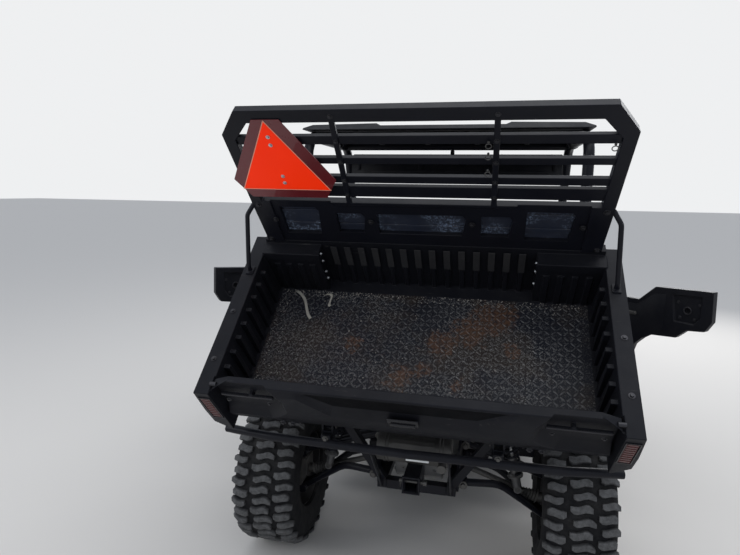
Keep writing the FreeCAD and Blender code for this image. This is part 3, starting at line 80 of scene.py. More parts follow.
def node(tree, kind, inputs=None, **settings):
    """A shader node, each input linked to a socket or given a value."""
    made = tree.nodes.new("ShaderNode" + kind)
    for key, value in settings.items():
        setattr(made, key, value)
    for key, value in (inputs or {}).items():
        if isinstance(value, bpy.types.NodeSocket):
            tree.links.new(value, made.inputs[key])
        else:
            made.inputs[key].default_value = value
    return made


def rgb(red, green, blue):
    return (red, green, blue, 1.0)


SKY_LIGHT = rgb(0.84, 0.9, 1.0)
SKY_SEEN = rgb(0.86, 0.87, 0.88)
FLOOR_COLOUR = rgb(0.7, 0.675, 0.64)
world = bpy.data.worlds.new("sky")
world.use_nodes = True
scene.world = world
sky = world.node_tree
sky.nodes.clear()
rays = node(sky, "LightPath")
shown = node(sky, "Math", {0: rays.outputs["Is Camera Ray"], 1: rays.outputs["Is Transmission Ray"]},
             operation="MAXIMUM")
dome = node(sky, "Background", {"Color": SKY_LIGHT, "Strength": 0.7})
seen = node(sky, "Background", {"Color": SKY_SEEN, "Strength": 1.0})
either = node(sky, "MixShader", {0: shown.outputs[0], 1: dome.outputs[0], 2: seen.outputs[0]})
node(sky, "OutputWorld", {"Surface": either.outputs[0]})

floor_mesh = bpy.data.meshes.new("floor")
bm = bmesh.new()
bmesh.ops.create_grid(bm, x_segments=1, y_segments=1, size=60.0)
bm.to_mesh(floor_mesh)
bm.free()
floor = bpy.data.objects.new("floor", floor_mesh)
floor_paint = bpy.data.materials.new("floor_paint")
floor_paint.use_nodes = True
shader = floor_paint.node_tree.nodes["Principled BSDF"]
shader.inputs["Base Color"].default_value = FLOOR_COLOUR
shader.inputs["Roughness"].default_value = 0.9
shader.inputs["Specular IOR Level"].default_value = 0.1
floor_mesh.materials.append(floor_paint)
scene.collection.objects.link(floor)

# name, place, point lit, width, watts
for name, at, target, width, watts in (
        ("overhead_lamp", (0.6, -1.2, 5.2), (0, -0.6, 0.6), 4.5, 90.0),
        ("left_lamp", (-4.5, -4.2, 3.2), (0, -1.0, 0.9), 2.4, 45.0),
        ("front_lamp", (2.8, 4.6, 3.4), (0, 0.4, 1.0), 3.0, 110.0)):
    lamp = bpy.data.objects.new(name, bpy.data.lights.new(name, "AREA"))
    lamp.data.size = width
    lamp.data.energy = watts
    lamp.location = at
    lamp.rotation_euler = (Vector(target) - Vector(at)).to_track_quat("-Z", "Y").to_euler()
    scene.collection.objects.link(lamp)

# Surface effects. Dust that lies on what faces up, the pebble of moulded plastic and powder coat,
# and pale scuffs. Each material below places these groups with its own values.


def effect(name, inputs, outputs):
    """An empty shader node group with its sockets: name, type and starting value."""
    tree = bpy.data.node_groups.new(name, "ShaderNodeTree")
    for socket, kind, value in inputs:
        made = tree.interface.new_socket(name=socket, in_out="INPUT", socket_type="NodeSocket" + kind)
        made.default_value = value
    for socket, kind in outputs:
        tree.interface.new_socket(name=socket, in_out="OUTPUT", socket_type="NodeSocket" + kind)
    return tree, tree.nodes.new("NodeGroupInput").outputs, tree.nodes.new("NodeGroupOutput").inputs


def mix(tree, factor, first, second):
    """The colour between two colours."""
    return node(tree, "Mix", {0: factor, 6: first, 7: second}, data_type="RGBA").outputs[2]


def math(tree, operation, first, second=0.0, clamp=False):
    return node(tree, "Math", {0: first, 1: second}, operation=operation, use_clamp=clamp).outputs[0]


def times(tree, first, second, clamp=False):
    return math(tree, "MULTIPLY", first, second, clamp)


def spread(tree, value, low, high, to_low=0.0, to_high=1.0):
    """A value brought from one range to another and held inside it."""
    return node(tree, "MapRange", {"Value": value, "From Min": low, "From Max": high,
                                   "To Min": to_low, "To Max": to_high}).outputs[0]


def noise(tree, vector, scale, detail=4.0, roughness=0.6):
    return node(tree, "TexNoise", {"Vector": vector, "Scale": scale, "Detail": detail,
                                   "Roughness": roughness}).outputs["Fac"]


DUST_GREY = rgb(0.33, 0.31, 0.28)
dust, given, out = effect("settled_dust", (
    ("Color", "Color", rgb(0, 0, 0)), ("Roughness", "Float", 0.5), ("Dust", "Color", DUST_GREY),
    ("Amount", "Float", 0.3), ("Scale", "Float", 7.0)), (("Color", "Color"), ("Roughness", "Float")))
spot = node(dust, "TexCoord").outputs
facing = node(dust, "SeparateXYZ", {0: spot["Normal"]}).outputs["Z"]
lying = times(dust, spread(dust, facing, -0.2, 0.9, 0.16, 1.0),
             spread(dust, noise(dust, spot["Object"], given["Scale"], 5.0, 0.7), 0.36, 0.68))
lying = times(dust, lying, spread(dust, noise(dust, spot["Object"], 420.0, 2.0), 0.35, 0.65, 0.5, 1.3))
lying = times(dust, lying, given["Amount"], clamp=True)
dust.links.new(mix(dust, lying, given["Color"], given["Dust"]), out["Color"])
dust.links.new(spread(dust, lying, 0.0, 1.0, given["Roughness"], 0.95), out["Roughness"])

pebble, given, out = effect("pebble", (("Scale", "Float", 700.0), ("Waves", "Float", 0.3)),
                            (("Height", "Float"),))
spot = node(pebble, "TexCoord").outputs
cells = node(pebble, "TexVoronoi", {"Vector": spot["Object"], "Scale": given["Scale"]}).outputs["Distance"]
waves = times(pebble, noise(pebble, spot["Object"], 45.0, 2.0), given["Waves"])
pebble.links.new(math(pebble, "ADD", cells, waves), out["Height"])

scuff, given, out = effect("scuff", (("Scale", "Float", 9.0), ("Amount", "Float", 0.5)), (("Mask", "Float"),))
spot = node(scuff, "TexCoord").outputs
stretched = node(scuff, "Mapping", {"Vector": spot["Object"], "Rotation": (0.3, 0.5, 0.7),
                                    "Scale": (14.0, 150.0, 90.0)}).outputs[0]
lines = spread(scuff, noise(scuff, stretched, 1.0, 3.0, 0.7), 0.63, 0.7)
areas = spread(scuff, noise(scuff, spot["Object"], given["Scale"], 3.0), 0.52, 0.66)
scuff.links.new(times(scuff, times(scuff, lines, areas), given["Amount"], True), out["Mask"])


def group(tree, made, inputs):
    return node(tree, "Group", inputs, node_tree=made).outputs


def finish(name, colour, roughness, dusty=0.3, grain=700.0, relief=0.12, waves=0.3, worn=0.3,
           worn_colour=rgb(0.12, 0.12, 0.12), dust_colour=DUST_GREY, cloud=7.0, metal=0.0, coat=0.0,
           shine=0.5):
    """A solid finish: base colour with cloudy change, scuffs, settled dust and a fine relief."""
    material = bpy.data.materials.new(name)
    material.use_nodes = True
    tree = material.node_tree
    surface = tree.nodes["Principled BSDF"]
    at = node(tree, "TexCoord").outputs["Object"]
    shade = spread(tree, noise(tree, at, 3.0, 3.0), 0.3, 0.7)
    pale = tuple(min(1.0, c * 1.35) for c in colour[:3]) + (1.0,)
    base = mix(tree, shade, colour, pale)
    base = mix(tree, group(tree, scuff, {"Amount": worn})["Mask"], base, worn_colour)
    uneven = spread(tree, noise(tree, at, 18.0, 4.0), 0.3, 0.7, roughness * 0.88, min(1.0, roughness * 1.15))
    dusted = group(tree, dust, {"Color": base, "Roughness": uneven, "Dust": dust_colour, "Amount": dusty,
                                "Scale": cloud})
    height = group(tree, pebble, {"Scale": grain, "Waves": waves})["Height"]
    bump = node(tree, "Bump", {"Height": height, "Strength": relief, "Distance": 0.001})
    for key, value in (("Base Color", dusted["Color"]), ("Roughness", dusted["Roughness"]),
                       ("Normal", bump.outputs[0])):
        tree.links.new(value, surface.inputs[key])
    surface.inputs["Metallic"].default_value = metal
    surface.inputs["Coat Weight"].default_value = coat
    surface.inputs["Specular IOR Level"].default_value = shine
    return material


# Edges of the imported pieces. Pressed and moulded parts have small rounded edges that catch light.
# The modifiers join the loose triangles, round the sharp edges and keep the flat faces flat.
SHARP = radians(38)
edges_kept = bpy.data.node_groups.new("joined_edges", "GeometryNodeTree")
for way in ("INPUT", "OUTPUT"):
    edges_kept.interface.new_socket(name="Geometry", in_out=way, socket_type="NodeSocketGeometry")
entry, leave = edges_kept.nodes.new("NodeGroupInput"), edges_kept.nodes.new("NodeGroupOutput")
join = edges_kept.nodes.new("GeometryNodeMergeByDistance")
join.inputs["Distance"].default_value = 0.00001
crease = edges_kept.nodes.new("GeometryNodeSetMeshNormal")
crease.inputs["Remove Custom"].default_value = True
fold = edges_kept.nodes.new("GeometryNodeInputMeshEdgeAngle")
sharp = edges_kept.nodes.new("FunctionNodeCompare")
sharp.operation = "GREATER_THAN"
sharp.inputs[1].default_value = SHARP
for one, other in ((entry.outputs[0], join.inputs[0]), (join.outputs[0], crease.inputs["Mesh"]),
                   (fold.outputs[0], sharp.inputs[0]), (sharp.outputs[0], crease.inputs["Edge Sharpness"]),
                   (crease.outputs[0], leave.inputs[0])):
    edges_kept.links.new(one, other)


def soften(thing, width):
    rounding = thing.modifiers.new("edge_rounding", "BEVEL")
    rounding.width = width
    rounding.segments = 2
    rounding.limit_method = "ANGLE"
    rounding.angle_limit = SHARP
    rounding.use_clamp_overlap = False
    weights = thing.modifiers.new("flat_faces", "WEIGHTED_NORMAL")
    weights.keep_sharp = True


def dress(names, material, edge=0.0015):
    """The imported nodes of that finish, with their edges rounded."""
    for name in names:
        packed = frame["nodes"][name]
        for place in packed.material_slots:
            place.material = material
        joining = packed.modifiers.new("joined_edges", "NODES")
        joining.node_group = edges_kept
        if edge:
            soften(packed, edge)


# Tyres. Mud tyres of dusty black rubber on both axles: a carcass with a rounded shoulder and three
# rows of wavy blocks, whose tops have gone grey. Each seats on its rim.
X, Y, Z = Vector((1, 0, 0)), Vector((0, 1, 0)), Vector((0, 0, 1))
SIDES = (("left", -1), ("right", 1))
BLOCK_COUNT = 44
BLOCK_H = 0.0165
BEAD_R = 0.1784
# The blue in this near black base colour is a painted tint of the sky's light.
tyre_rubber = finish("tyre_rubber", rgb(0.0062, 0.0064, 0.0078), 0.78, dusty=0.2, grain=500.0, relief=0.3,
                     worn=0.2, dust_colour=rgb(0.2, 0.19, 0.175), cloud=11.0, shine=0.2)


def opened(material):
    """A finish laid open: its tree, the place in it, its base colour and the socket which that feeds."""
    tree = material.node_tree
    socket = tree.nodes["Principled BSDF"].inputs["Base Color"]
    return tree, node(tree, "TexCoord").outputs["Object"], socket.links[0].from_socket, socket


tree, at, plain, colour = opened(tyre_rubber)
tops = node(tree, "Attribute", attribute_name="worn_top").outputs["Fac"]
blotch = spread(tree, noise(tree, at, 55.0, 5.0, 0.75), 0.33, 0.66, 0.35, 1.0)
grey = times(tree, times(tree, tops, blotch), 0.85, True)
tree.links.new(mix(tree, grey, plain, rgb(0.145, 0.146, 0.148)), colour)


def piece(name, bm, material, body="root", replaces=()):
    """A finished mesh as an object of the scene, which rides on its body."""
    mesh = bpy.data.meshes.new(name)
    bm.to_mesh(mesh)
    bm.free()
    mesh.materials.append(material)
    mesh.polygons.foreach_set("use_smooth", [True] * len(mesh.polygons))
    mesh.set_sharp_from_angle(angle=radians(35))
    made = bpy.data.objects.new(name, mesh)
    scene.collection.objects.link(made)
    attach(made, body)
    if replaces:
        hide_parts(*replaces)
    return made


def rounded(bm, edges, width, segments=2):
    bmesh.ops.bevel(bm, geom=edges, offset=width, offset_type="OFFSET", segments=segments, profile=0.5,
                    affect="EDGES", material=-1)


def around(verts, kind):
    """The edges or faces on those vertices, each once and in the same order at every run."""
    return list(dict.fromkeys(part for v in verts for part in getattr(v, kind)))


def spun(bm, geom, steps, axis=Z, angle=2 * pi, rise=Z * 0, **settings):
    bmesh.ops.spin(bm, geom=geom, cent=(0, 0, 0), axis=axis, dvec=rise, angle=angle, steps=steps, **settings)


def face_out(bm):
    bmesh.ops.recalc_face_normals(bm, faces=bm.faces)


def crown(x, half):
    """How far the tread lies below its middle, that far across."""
    over = max(0.0, abs(x) - 0.7 * half)
    return 0.004 * (x / half) ** 2 + 9.0 * over ** 2


def tyre_mesh(half, radius, bore):
    bm = bmesh.new()
    base = radius - BLOCK_H
    side = [(half - 0.014, bore), (half - 0.01, bore + 0.016), (half - 0.004, bore + 0.03),
            (half, bore + 0.052), (half - 0.001, bore + 0.085), (half - 0.003, base - 0.036),
            (half - 0.01, base - 0.02), (half - 0.024, base - crown(half - 0.024, half) - 0.002)]
    across = [half * k for k in (0.62, 0.4, 0.2)]
    line = side + [(x, base - crown(x, half)) for x in across]
    line = line + [(0.0, base)] + [(-x, r) for x, r in reversed(line)]
    ring = [bm.verts.new((x, 0, r)) for x, r in line]
    for one, other in zip(ring, ring[1:] + ring[:1]):
        bm.edges.new((one, other))
    spun(bm, bm.verts[:] + bm.edges[:], 72, X, use_merge=True)
    face_out(bm)
    # rows of blocks: middle, width, length round the tyre, wave, share of a pitch ahead, hand
    rows = ((0.0, 0.6, 0.03, 0.0065, 0.0, 1), (0.7, 0.5, 0.031, 0.0045, 0.5, 1),
            (-0.7, 0.5, 0.031, 0.0045, 0.5, -1))
    for middle, width, length, wave, ahead, hand in rows:
        for odd in (0, 1):
            start = len(bm.verts)
            w, l = width * half, length * (0.92 if odd else 1.05)
            bmesh.ops.create_grid(bm, x_segments=6, y_segments=1, size=0.5)
            bm.verts.ensure_lookup_table()
            new = bm.verts[start:]
            for v in new:
                share = v.co.x
                taper = 1.0 - 0.35 * max(0.0, abs(share) - 0.36) / 0.14
                v.co.y = v.co.y * l * taper + wave * hand * sin(2 * pi * share + (0.6 if odd else 0.0))
                v.co.x = middle * half + share * w + (0.008 if odd else -0.004) * hand
            fresh = set(new)
            faces = [f for f in bm.faces if all(v in fresh for v in f.verts)]
            raised = bmesh.ops.extrude_face_region(bm, geom=faces)["geom"]
            top = [g for g in raised if isinstance(g, bmesh.types.BMVert)]
            for v in new:
                v.co.z = base - crown(v.co.x, half) - 0.004
            for v in top:
                v.co.z = base + BLOCK_H - 0.0006 - crown(v.co.x, half)
                v.co.y *= 0.9
            rim_edges = [e for e in around(top, "link_edges")
                         if e.verts[0] in top and e.verts[1] in top and len(e.link_faces) == 2
                         and e.calc_face_angle(0.0) > 0.6]
            rounded(bm, rim_edges, 0.0022)
            bm.verts.ensure_lookup_table()
            made = bm.verts[start:]
            turn = Matrix.Rotation(2 * pi * (odd + ahead) / BLOCK_COUNT, 3, "X")
            bmesh.ops.rotate(bm, verts=made, cent=(0, 0, 0), matrix=turn)
            whole = made + around(made, "link_edges") + around(made, "link_faces")
            spun(bm, whole, BLOCK_COUNT // 2 - 1, X, 2 * pi * (BLOCK_COUNT - 2) / BLOCK_COUNT,
                 use_duplicate=True)
    return bm


for axle in ("front", "rear"):
    lo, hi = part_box(f"tyre_{axle}_right")
    centre, size = (lo + hi) / 2, hi - lo
    for side, hand in SIDES:
        bm = tyre_mesh(size.x / 2, size.z / 2, BEAD_R)
        top = bm.verts.layers.float.new("worn_top")
        for v in bm.verts:
            reach = (v.co.y ** 2 + v.co.z ** 2) ** 0.5 + crown(v.co.x, size.x / 2)
            v[top] = 1.0 if reach > size.z / 2 - 0.0045 else 0.0
        bmesh.ops.translate(bm, verts=bm.verts, vec=(hand * centre.x, centre.y, centre.z))
        piece(f"tread_tyre_{axle}_{side}", bm, tyre_rubber, f"wheel_{axle}_{side}",
              (f"tyre_{axle}_{side}",))

# Rims. Pressed black steel with eight windows. Four plated nuts hold each on its hub, a cap closes
# the middle, and a black valve stands in the outer dish.
NUT_CIRCLE_R = 0.042
VALVE_R = 0.153
# The blue in this near black base colour is a painted tint of the sky's light.
rim_paint = finish("rim_paint", rgb(0.0075, 0.0076, 0.0095), 0.34, dusty=0.12, grain=320.0, relief=0.06,
                   coat=0.3)
zinc = finish("zinc_plated_steel", rgb(0.52, 0.53, 0.54), 0.34, dusty=0.25, grain=1200.0, relief=0.05,
              metal=1.0)
# The blue in this near black base colour is a painted tint of the sky's light.
smooth_plastic = finish("smooth_black_plastic", rgb(0.0055, 0.0056, 0.008), 0.26, dusty=0.05, grain=1500.0,
                        relief=0.03, worn=0.2, worn_colour=rgb(0.05, 0.05, 0.05), coat=0.1, shine=0.3)
dress([f"rim_{axle}_{side}" for axle in ("front", "rear") for side, _ in SIDES], rim_paint, 0.001)


def corner_edges(bm, above):
    """The edges whose faces meet at more than that angle."""
    return [e for e in bm.edges if len(e.link_faces) == 2 and e.calc_face_angle(0) > above]


def turned_to(axis, at):
    """Places what stands along z so that it stands along that axis, at that point."""
    return Matrix.Translation(at) @ Vector(axis).to_track_quat("Z", "Y").to_matrix().to_4x4()


def cone(bm, segments, near_r, far_r, length, place, rise=0.0, capped=True):
    """A cone or cylinder along z, its middle that far up from the place."""
    bmesh.ops.create_cone(bm, cap_ends=capped, segments=segments, radius1=near_r, radius2=far_r,
                          depth=length, matrix=place @ Matrix.Translation((0, 0, rise)))


def hex_bolt(bm, at, axis, size, washer=True):
    """A hexagon head whose seat is at the point."""
    seat = turned_to(axis, at)
    if washer:
        cone(bm, 14, size * 0.95, size * 0.9, size * 0.16, seat, size * 0.08)
    cone(bm, 6, size * 0.58, size * 0.56, size * 0.42, seat, size * 0.36)
    cone(bm, 6, size * 0.56, size * 0.46, size * 0.07, seat, size * 0.605)


for axle in ("front", "rear"):
    lo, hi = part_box(f"rim_{axle}_right")
    centre = (lo + hi) / 2
    tyre_lo, tyre_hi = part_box(f"tyre_{axle}_right")
    middle = (tyre_lo.x + tyre_hi.x) / 2
    rim_w = 2 * (hi.x - middle)
    hub_face = middle + 0.3 * rim_w - 0.006
    for side, hand in SIDES:
        bm = bmesh.new()
        for k in range(4):
            a = pi / 4 + k * pi / 2
            at = Vector((hand * hub_face, centre.y + NUT_CIRCLE_R * cos(a), centre.z + NUT_CIRCLE_R * sin(a)))
            hex_bolt(bm, at, X * hand, 0.02, washer=False)
        piece(f"wheel_nuts_{axle}_{side}", bm, zinc, f"wheel_{axle}_{side}")
        bm = bmesh.new()
        seat = turned_to(X * hand, Vector((hand * hub_face, centre.y, centre.z)))
        cone(bm, 32, 0.027, 0.024, 0.022, seat, 0.011)
        rounded(bm, corner_edges(bm, 1.0), 0.003, 3)
        valve = turned_to((hand, 0, 0.5), (hand * (hub_face + 0.016), centre.y, centre.z + VALVE_R))
        cone(bm, 12, 0.006, 0.004, 0.036, valve)
        piece(f"hub_cap_{axle}_{side}", bm, smooth_plastic, f"wheel_{axle}_{side}")

# Chassis. Square steel rails and round tubes, welded, then powder coated black, as the rack on the
# bed is. The skid plate is a plastic sheet; bumper, guard, receiver and arms are bolted on.
# The blue in this near black base colour is a painted tint of the sky's light.
powder_coat = finish("satin_powder_coat", rgb(0.0055, 0.006, 0.0095), 0.34, dusty=0.03, grain=380.0,
                     relief=0.06, worn_colour=rgb(0.05, 0.05, 0.055), shine=0.18)
dress(["frame", "upper_frame", "rops", "rear_bumper", "brush_guard", "hitch_receiver", "front_arms",
       "rear_arms", "tie_rods", "bed_rack"], powder_coat, 0.0018)
under_plastic = finish("skid_plate_plastic", rgb(0.02, 0.02, 0.021), 0.62, dusty=0.6, grain=300.0, relief=0.3,
                       worn=1.0, worn_colour=rgb(0.2, 0.19, 0.17))
dress(["skid_plate"], under_plastic, 0.002)
cast_grey = finish("cast_aluminium", rgb(0.2, 0.2, 0.2), 0.55, dusty=0.6, grain=450.0, relief=0.35, metal=0.6)
cast_black = finish("cast_iron", rgb(0.035, 0.034, 0.033), 0.6, dusty=0.65, grain=350.0, relief=0.4,
                    metal=0.3)
dress(["powertrain"], cast_grey, 0.006)
dress(["knuckle_left", "knuckle_right", "rear_carriers"], cast_black, 0.0015)
dull_steel = finish("dull_steel", rgb(0.09, 0.088, 0.085), 0.5, dusty=0.25, grain=600.0, relief=0.1,
                    metal=0.85)
dress(["drive_shafts", "muffler"], dull_steel, 0.0015)
dress(["strut_barrel"], powder_coat, 0.001)
dress(["strut_rod"], zinc, 0.0)

lo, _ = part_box("skid_plate")
SKID_UNDERSIDE = 0.3367
bm = bmesh.new()
for x in (-0.25, 0.25):
    for k in range(9):
        hex_bolt(bm, (x, lo.y + 0.08 + k * 0.245, SKID_UNDERSIDE), -Z, 0.014)
piece("skid_plate_bolts", bm, zinc)

# bolts of the rear arms' pivots, the bumper's tabs and the hitch, where they show from behind
bm = bmesh.new()
for _, hand in SIDES:
    for y, z in ((-1.0495, 0.43), (-0.9375, 0.56)):
        hex_bolt(bm, (hand * 0.1983, y, z), -Y, 0.02)
    for y in (-1.032, -1.0):
        hex_bolt(bm, (hand * 0.1705, y, 0.48), X * hand, 0.012)
    hex_bolt(bm, (hand * 0.33, -1.3565, 0.719), -Y, 0.014)
    hex_bolt(bm, (hand * 0.3, -1.3015, 0.761), -X * hand, 0.018)
piece("chassis_bolts", bm, dull_steel)

# Hitch. A collar round the receiver's mouth, a pin with its ring clip, and the pale reflector strip
# that the bumper's middle carries.
lo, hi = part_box("hitch_receiver")
hitch_z = hi.z - 0.0318
bm = bmesh.new()
COLLAR_W, COLLAR_T = 0.0716, 0.0101
bmesh.ops.create_cube(bm, size=1.0)
bmesh.ops.scale(bm, vec=(COLLAR_W, 0.012, COLLAR_W), verts=bm.verts)
ends = [f for f in bm.faces if abs(f.normal.y) > 0.9]
bmesh.ops.inset_region(bm, faces=ends, thickness=COLLAR_T, use_even_offset=True)
bmesh.ops.delete(bm, geom=[f for f in ends if f.is_valid], context="FACES")
bmesh.ops.bridge_loops(bm, edges=[e for e in bm.edges if e.is_boundary])
face_out(bm)
bmesh.ops.translate(bm, verts=bm.verts, vec=(0, lo.y + 0.006, hitch_z))
soften(piece("receiver_collar", bm, powder_coat), 0.0012)


def bar(bm, start, end, radius, segments, far_radius=None):
    """A round bar between two points."""
    start, end = Vector(start), Vector(end)
    cone(bm, segments, radius, far_radius or radius, (end - start).length,
         turned_to(end - start, (start + end) / 2))


def block(bm, low, high, edge=0.0, segments=2, place=None):
    """A box between two corners, its edges rounded, then brought to its place."""
    low, high = Vector(low), Vector(high)
    made = bmesh.ops.create_cube(bm, size=1.0)["verts"]
    bmesh.ops.scale(bm, vec=high - low, verts=made)
    bmesh.ops.translate(bm, vec=(low + high) / 2, verts=made)
    if place is not None:
        bmesh.ops.transform(bm, matrix=place, verts=made)
    if edge:
        rounded(bm, around(made, "link_edges"), edge, segments)


def wound(bm, radius, thickness, steps, sides, **settings):
    """Round wire wound about z, as a list of its vertices."""
    before = set(bm.verts)
    start = bmesh.ops.create_circle(bm, segments=sides, radius=thickness, matrix=Matrix.Translation(
        (radius, 0, 0)) @ Matrix.Rotation(pi / 2, 4, "X"))["verts"]
    spun(bm, start + around(start, "link_edges"), steps, **settings)
    return [v for v in bm.verts if v not in before]


def hoop(bm, centre, axis, radius, thickness, steps=32, sides=10):
    """A closed ring of round wire about an axis."""
    made = wound(bm, radius, thickness, steps, sides, use_merge=True)
    bmesh.ops.recalc_face_normals(bm, faces=around(made, "link_faces"))
    bmesh.ops.transform(bm, matrix=turned_to(axis, centre), verts=made)


pin_y = lo.y + 0.038
bm = bmesh.new()
bar(bm, (-0.052, pin_y, hitch_z), (0.046, pin_y, hitch_z), 0.0074, 20)
bar(bm, (0.046, pin_y, hitch_z), (0.06, pin_y, hitch_z), 0.0115, 20)
hoop(bm, (-0.046, pin_y, hitch_z - 0.012), X, 0.013, 0.0014)
piece("hitch_pin", bm, dull_steel)
pale_strip = finish("pale_reflector", rgb(0.62, 0.64, 0.64), 0.35, dusty=0.4, grain=900.0, relief=0.2,
                    worn=0.2, coat=0.4)
bm = bmesh.new()
block(bm, (-0.016, -1.318, 0.65), (0.074, -1.312, 0.667), 0.0015)
piece("reflector_strip", bm, pale_strip)
bm = bmesh.new()
for x in (0.0, 0.058):
    block(bm, (x - 0.004, -1.3125, 0.652), (x + 0.004, -1.262, 0.664), 0.001)
piece("reflector_feet", bm, powder_coat)

# Coil-over dampers. A painted tube, a polished rod, a wound steel spring between two seats and a
# rubber bush in each eye. One stands at every wheel, from the lower arm to the upper rail.
SPRING_TURNS = 7.5
SPRING_STEPS = int(SPRING_TURNS * 14)
SPRING_R, SPRING_WIRE = 0.0275, 0.0055
spring_paint = finish("spring_powder_coat", rgb(0.03, 0.031, 0.034), 0.35, dusty=0.45, grain=500.0,
                      relief=0.08, coat=0.3)
soft_rubber = finish("bush_rubber", rgb(0.02, 0.02, 0.02), 0.75, dusty=0.5, grain=500.0, relief=0.25)
# y, foot x, foot z, top x, top z
DAMPERS = ((-0.969, 0.43, 0.404, 0.3663, 0.716), (1.218, 0.452, 0.352, 0.3363, 0.665))
tubes, springs, rods, bushes = (bmesh.new() for _ in range(4))
for _, hand in SIDES:
    for y, x0, z0, x1, z1 in DAMPERS:
        foot, top = Vector((hand * x0, y, z0)), Vector((hand * x1, y, z1))
        run = (top - foot).normalized()
        # start and end along the damper, radius, far radius: from the foot, then from the top
        for near, far, r, far_r in ((0.012, 0.15, 0.0195, None), (0.058, 0.066, 0.0335, None),
                                    (0.066, 0.074, 0.0335, 0.024)):
            bar(tubes, foot + run * near, foot + run * far, r, 24, far_r)
        for near, far, r in ((0.04, 0.032, 0.0335), (0.032, 0.012, 0.018)):
            bar(tubes, top - run * near, top - run * far, r, 24)
        for end in (foot, top):
            bar(tubes, end - Y * 0.0165, end + Y * 0.0165, 0.0165, 24)
            bar(bushes, end - Y * 0.0185, end + Y * 0.0185, 0.0115, 20)
        bar(rods, foot + run * 0.15, top - run * 0.036, 0.0075, 20)
        reach = (top - foot).length - 0.114
        coil = wound(springs, SPRING_R, SPRING_WIRE, SPRING_STEPS, 8, angle=2 * pi * SPRING_TURNS,
                     rise=Z * (reach / SPRING_STEPS))
        bmesh.ops.transform(springs, matrix=turned_to(run, foot + run * 0.074), verts=coil)
face_out(springs)
piece("damper_tubes", tubes, spring_paint, replaces=("shocks",))
piece("damper_springs", springs, powder_coat, replaces=("shocks",))
piece("damper_rods", rods, zinc)
piece("damper_bushes", bushes, soft_rubber)

# Rubber boots on both ends of every half shaft. Each is a moulded bellows that narrows from the
# joint's housing to the shaft. The front outer ones are small, to leave the knuckles room to turn.
RIBS = 5
FRONT_AXLE_Y, REAR_AXLE_Y, HUB_Z = 1.148, -0.912, 0.345


def bellows(bm, start, along, length, wide, narrow):
    """A ribbed boot from its wide end at the start."""
    line = []
    for k in range(2 * RIBS + 1):
        share = k / (2 * RIBS)
        r = wide + (narrow - wide) * share
        line.append((r if k % 2 == 0 else r - 0.0055, share * length))
    line = [(0.0135, 0.0)] + [(wide, 0.0)] + line[1:] + [(0.0135, length)]
    before = set(bm.verts)
    ring = [bm.verts.new((r, 0, z)) for r, z in line]
    edges = [bm.edges.new(pair) for pair in zip(ring, ring[1:])]
    spun(bm, ring + edges, 28, use_merge=True)
    made = [v for v in bm.verts if v not in before]
    bmesh.ops.transform(bm, matrix=turned_to(along, start), verts=made)


bm = bmesh.new()
for _, hand in SIDES:
    # axle, joints' x, then the outer boot: gap to its joint, length, wide and narrow radius
    for y, x0, x1, *outer_boot in ((FRONT_AXLE_Y, 0.1053, 0.6, 0.09, 0.055, 0.0225, 0.0165),
                                   (REAR_AXLE_Y, 0.1153, 0.52, 0.004, 0.062, 0.0315, 0.017)):
        inner, outer = Vector((hand * x0, y, 0.48)), Vector((hand * x1, y, HUB_Z))
        run = (outer - inner).normalized()
        bellows(bm, inner + run * 0.006, run, 0.062, 0.0315, 0.017)
        bellows(bm, outer - run * outer_boot[0], -run, *outer_boot[1:])
face_out(bm)
piece("shaft_boots", bm, soft_rubber)

# Engine and gear case. A cast block, finned where air cools it, with a ribbed belt cover bolted to
# its left side, and flange bolts round the rear gear case.
bm = bmesh.new()
for k in range(9):
    z = 0.475 + k * 0.016
    block(bm, (-0.238, -0.71, z), (0.238, -0.535, z + 0.005), 0.0015, 1)
for _, hand in SIDES:
    for y, z in ((-0.99, 0.44), (-0.99, 0.56), (-0.93, 0.42), (-0.93, 0.585), (-0.87, 0.42), (-0.87, 0.585)):
        hex_bolt(bm, (hand * 0.105185, y, z), X * hand, 0.012)
for x in (-0.07, 0.07):
    for z in (0.46, 0.55):
        hex_bolt(bm, (x, -1.0215, z), -Y, 0.012)
piece("engine_fins_and_bolts", bm, cast_grey)
# The blue in this near black base colour is a painted tint of the sky's light.
moulded = finish("moulded_black_plastic", rgb(0.006, 0.0064, 0.009), 0.44, dusty=0.06, grain=900.0,
                 relief=0.2, worn=0.4, worn_colour=rgb(0.055, 0.055, 0.058), shine=0.16)
bm = bmesh.new()
COVER = Vector((-0.262, -0.63, 0.56))
bar(bm, COVER + X * 0.034, COVER, 0.105, 40, 0.095)
for k in range(12):
    a = 2 * pi * k / 12
    hex_bolt(bm, COVER + Vector((0.0015, 0.082 * cos(a), 0.082 * sin(a))), -X, 0.01)
    turn = Matrix.Translation(COVER) @ Matrix.Rotation(a, 4, "X")
    block(bm, (-0.0035, 0.02, -0.002), (0.003, 0.07, 0.002), 0.0008, 1, turn)
piece("belt_cover", bm, moulded)

# Muffler. A rolled steel can across the rear rails with clamped bands, ribs on its heat shield and
# a lip on its outlet pipe.
CAN = Vector((0.0, -1.17, 0.632))
bm = bmesh.new()
for x, r, wire in ((0.105, 0.0612, 0.0024), (0.1176, 0.0612, 0.0024), (0.149, 0.056, 0.0035)):
    for _, hand in SIDES:
        hoop(bm, CAN + X * (x * hand), X, r, wire, 48)
for k in range(9):
    turn = Matrix.Translation(CAN) @ Matrix.Rotation(radians(-60 + 15 * k), 4, "X")
    block(bm, (-0.085, -0.0078, 0.0635), (0.085, 0.0078, 0.065), 0.0, 1, turn)
bar(bm, (0.12, -1.276, 0.613), (0.12, -1.284, 0.6115), 0.0185, 24)
piece("muffler_bands", bm, dull_steel)

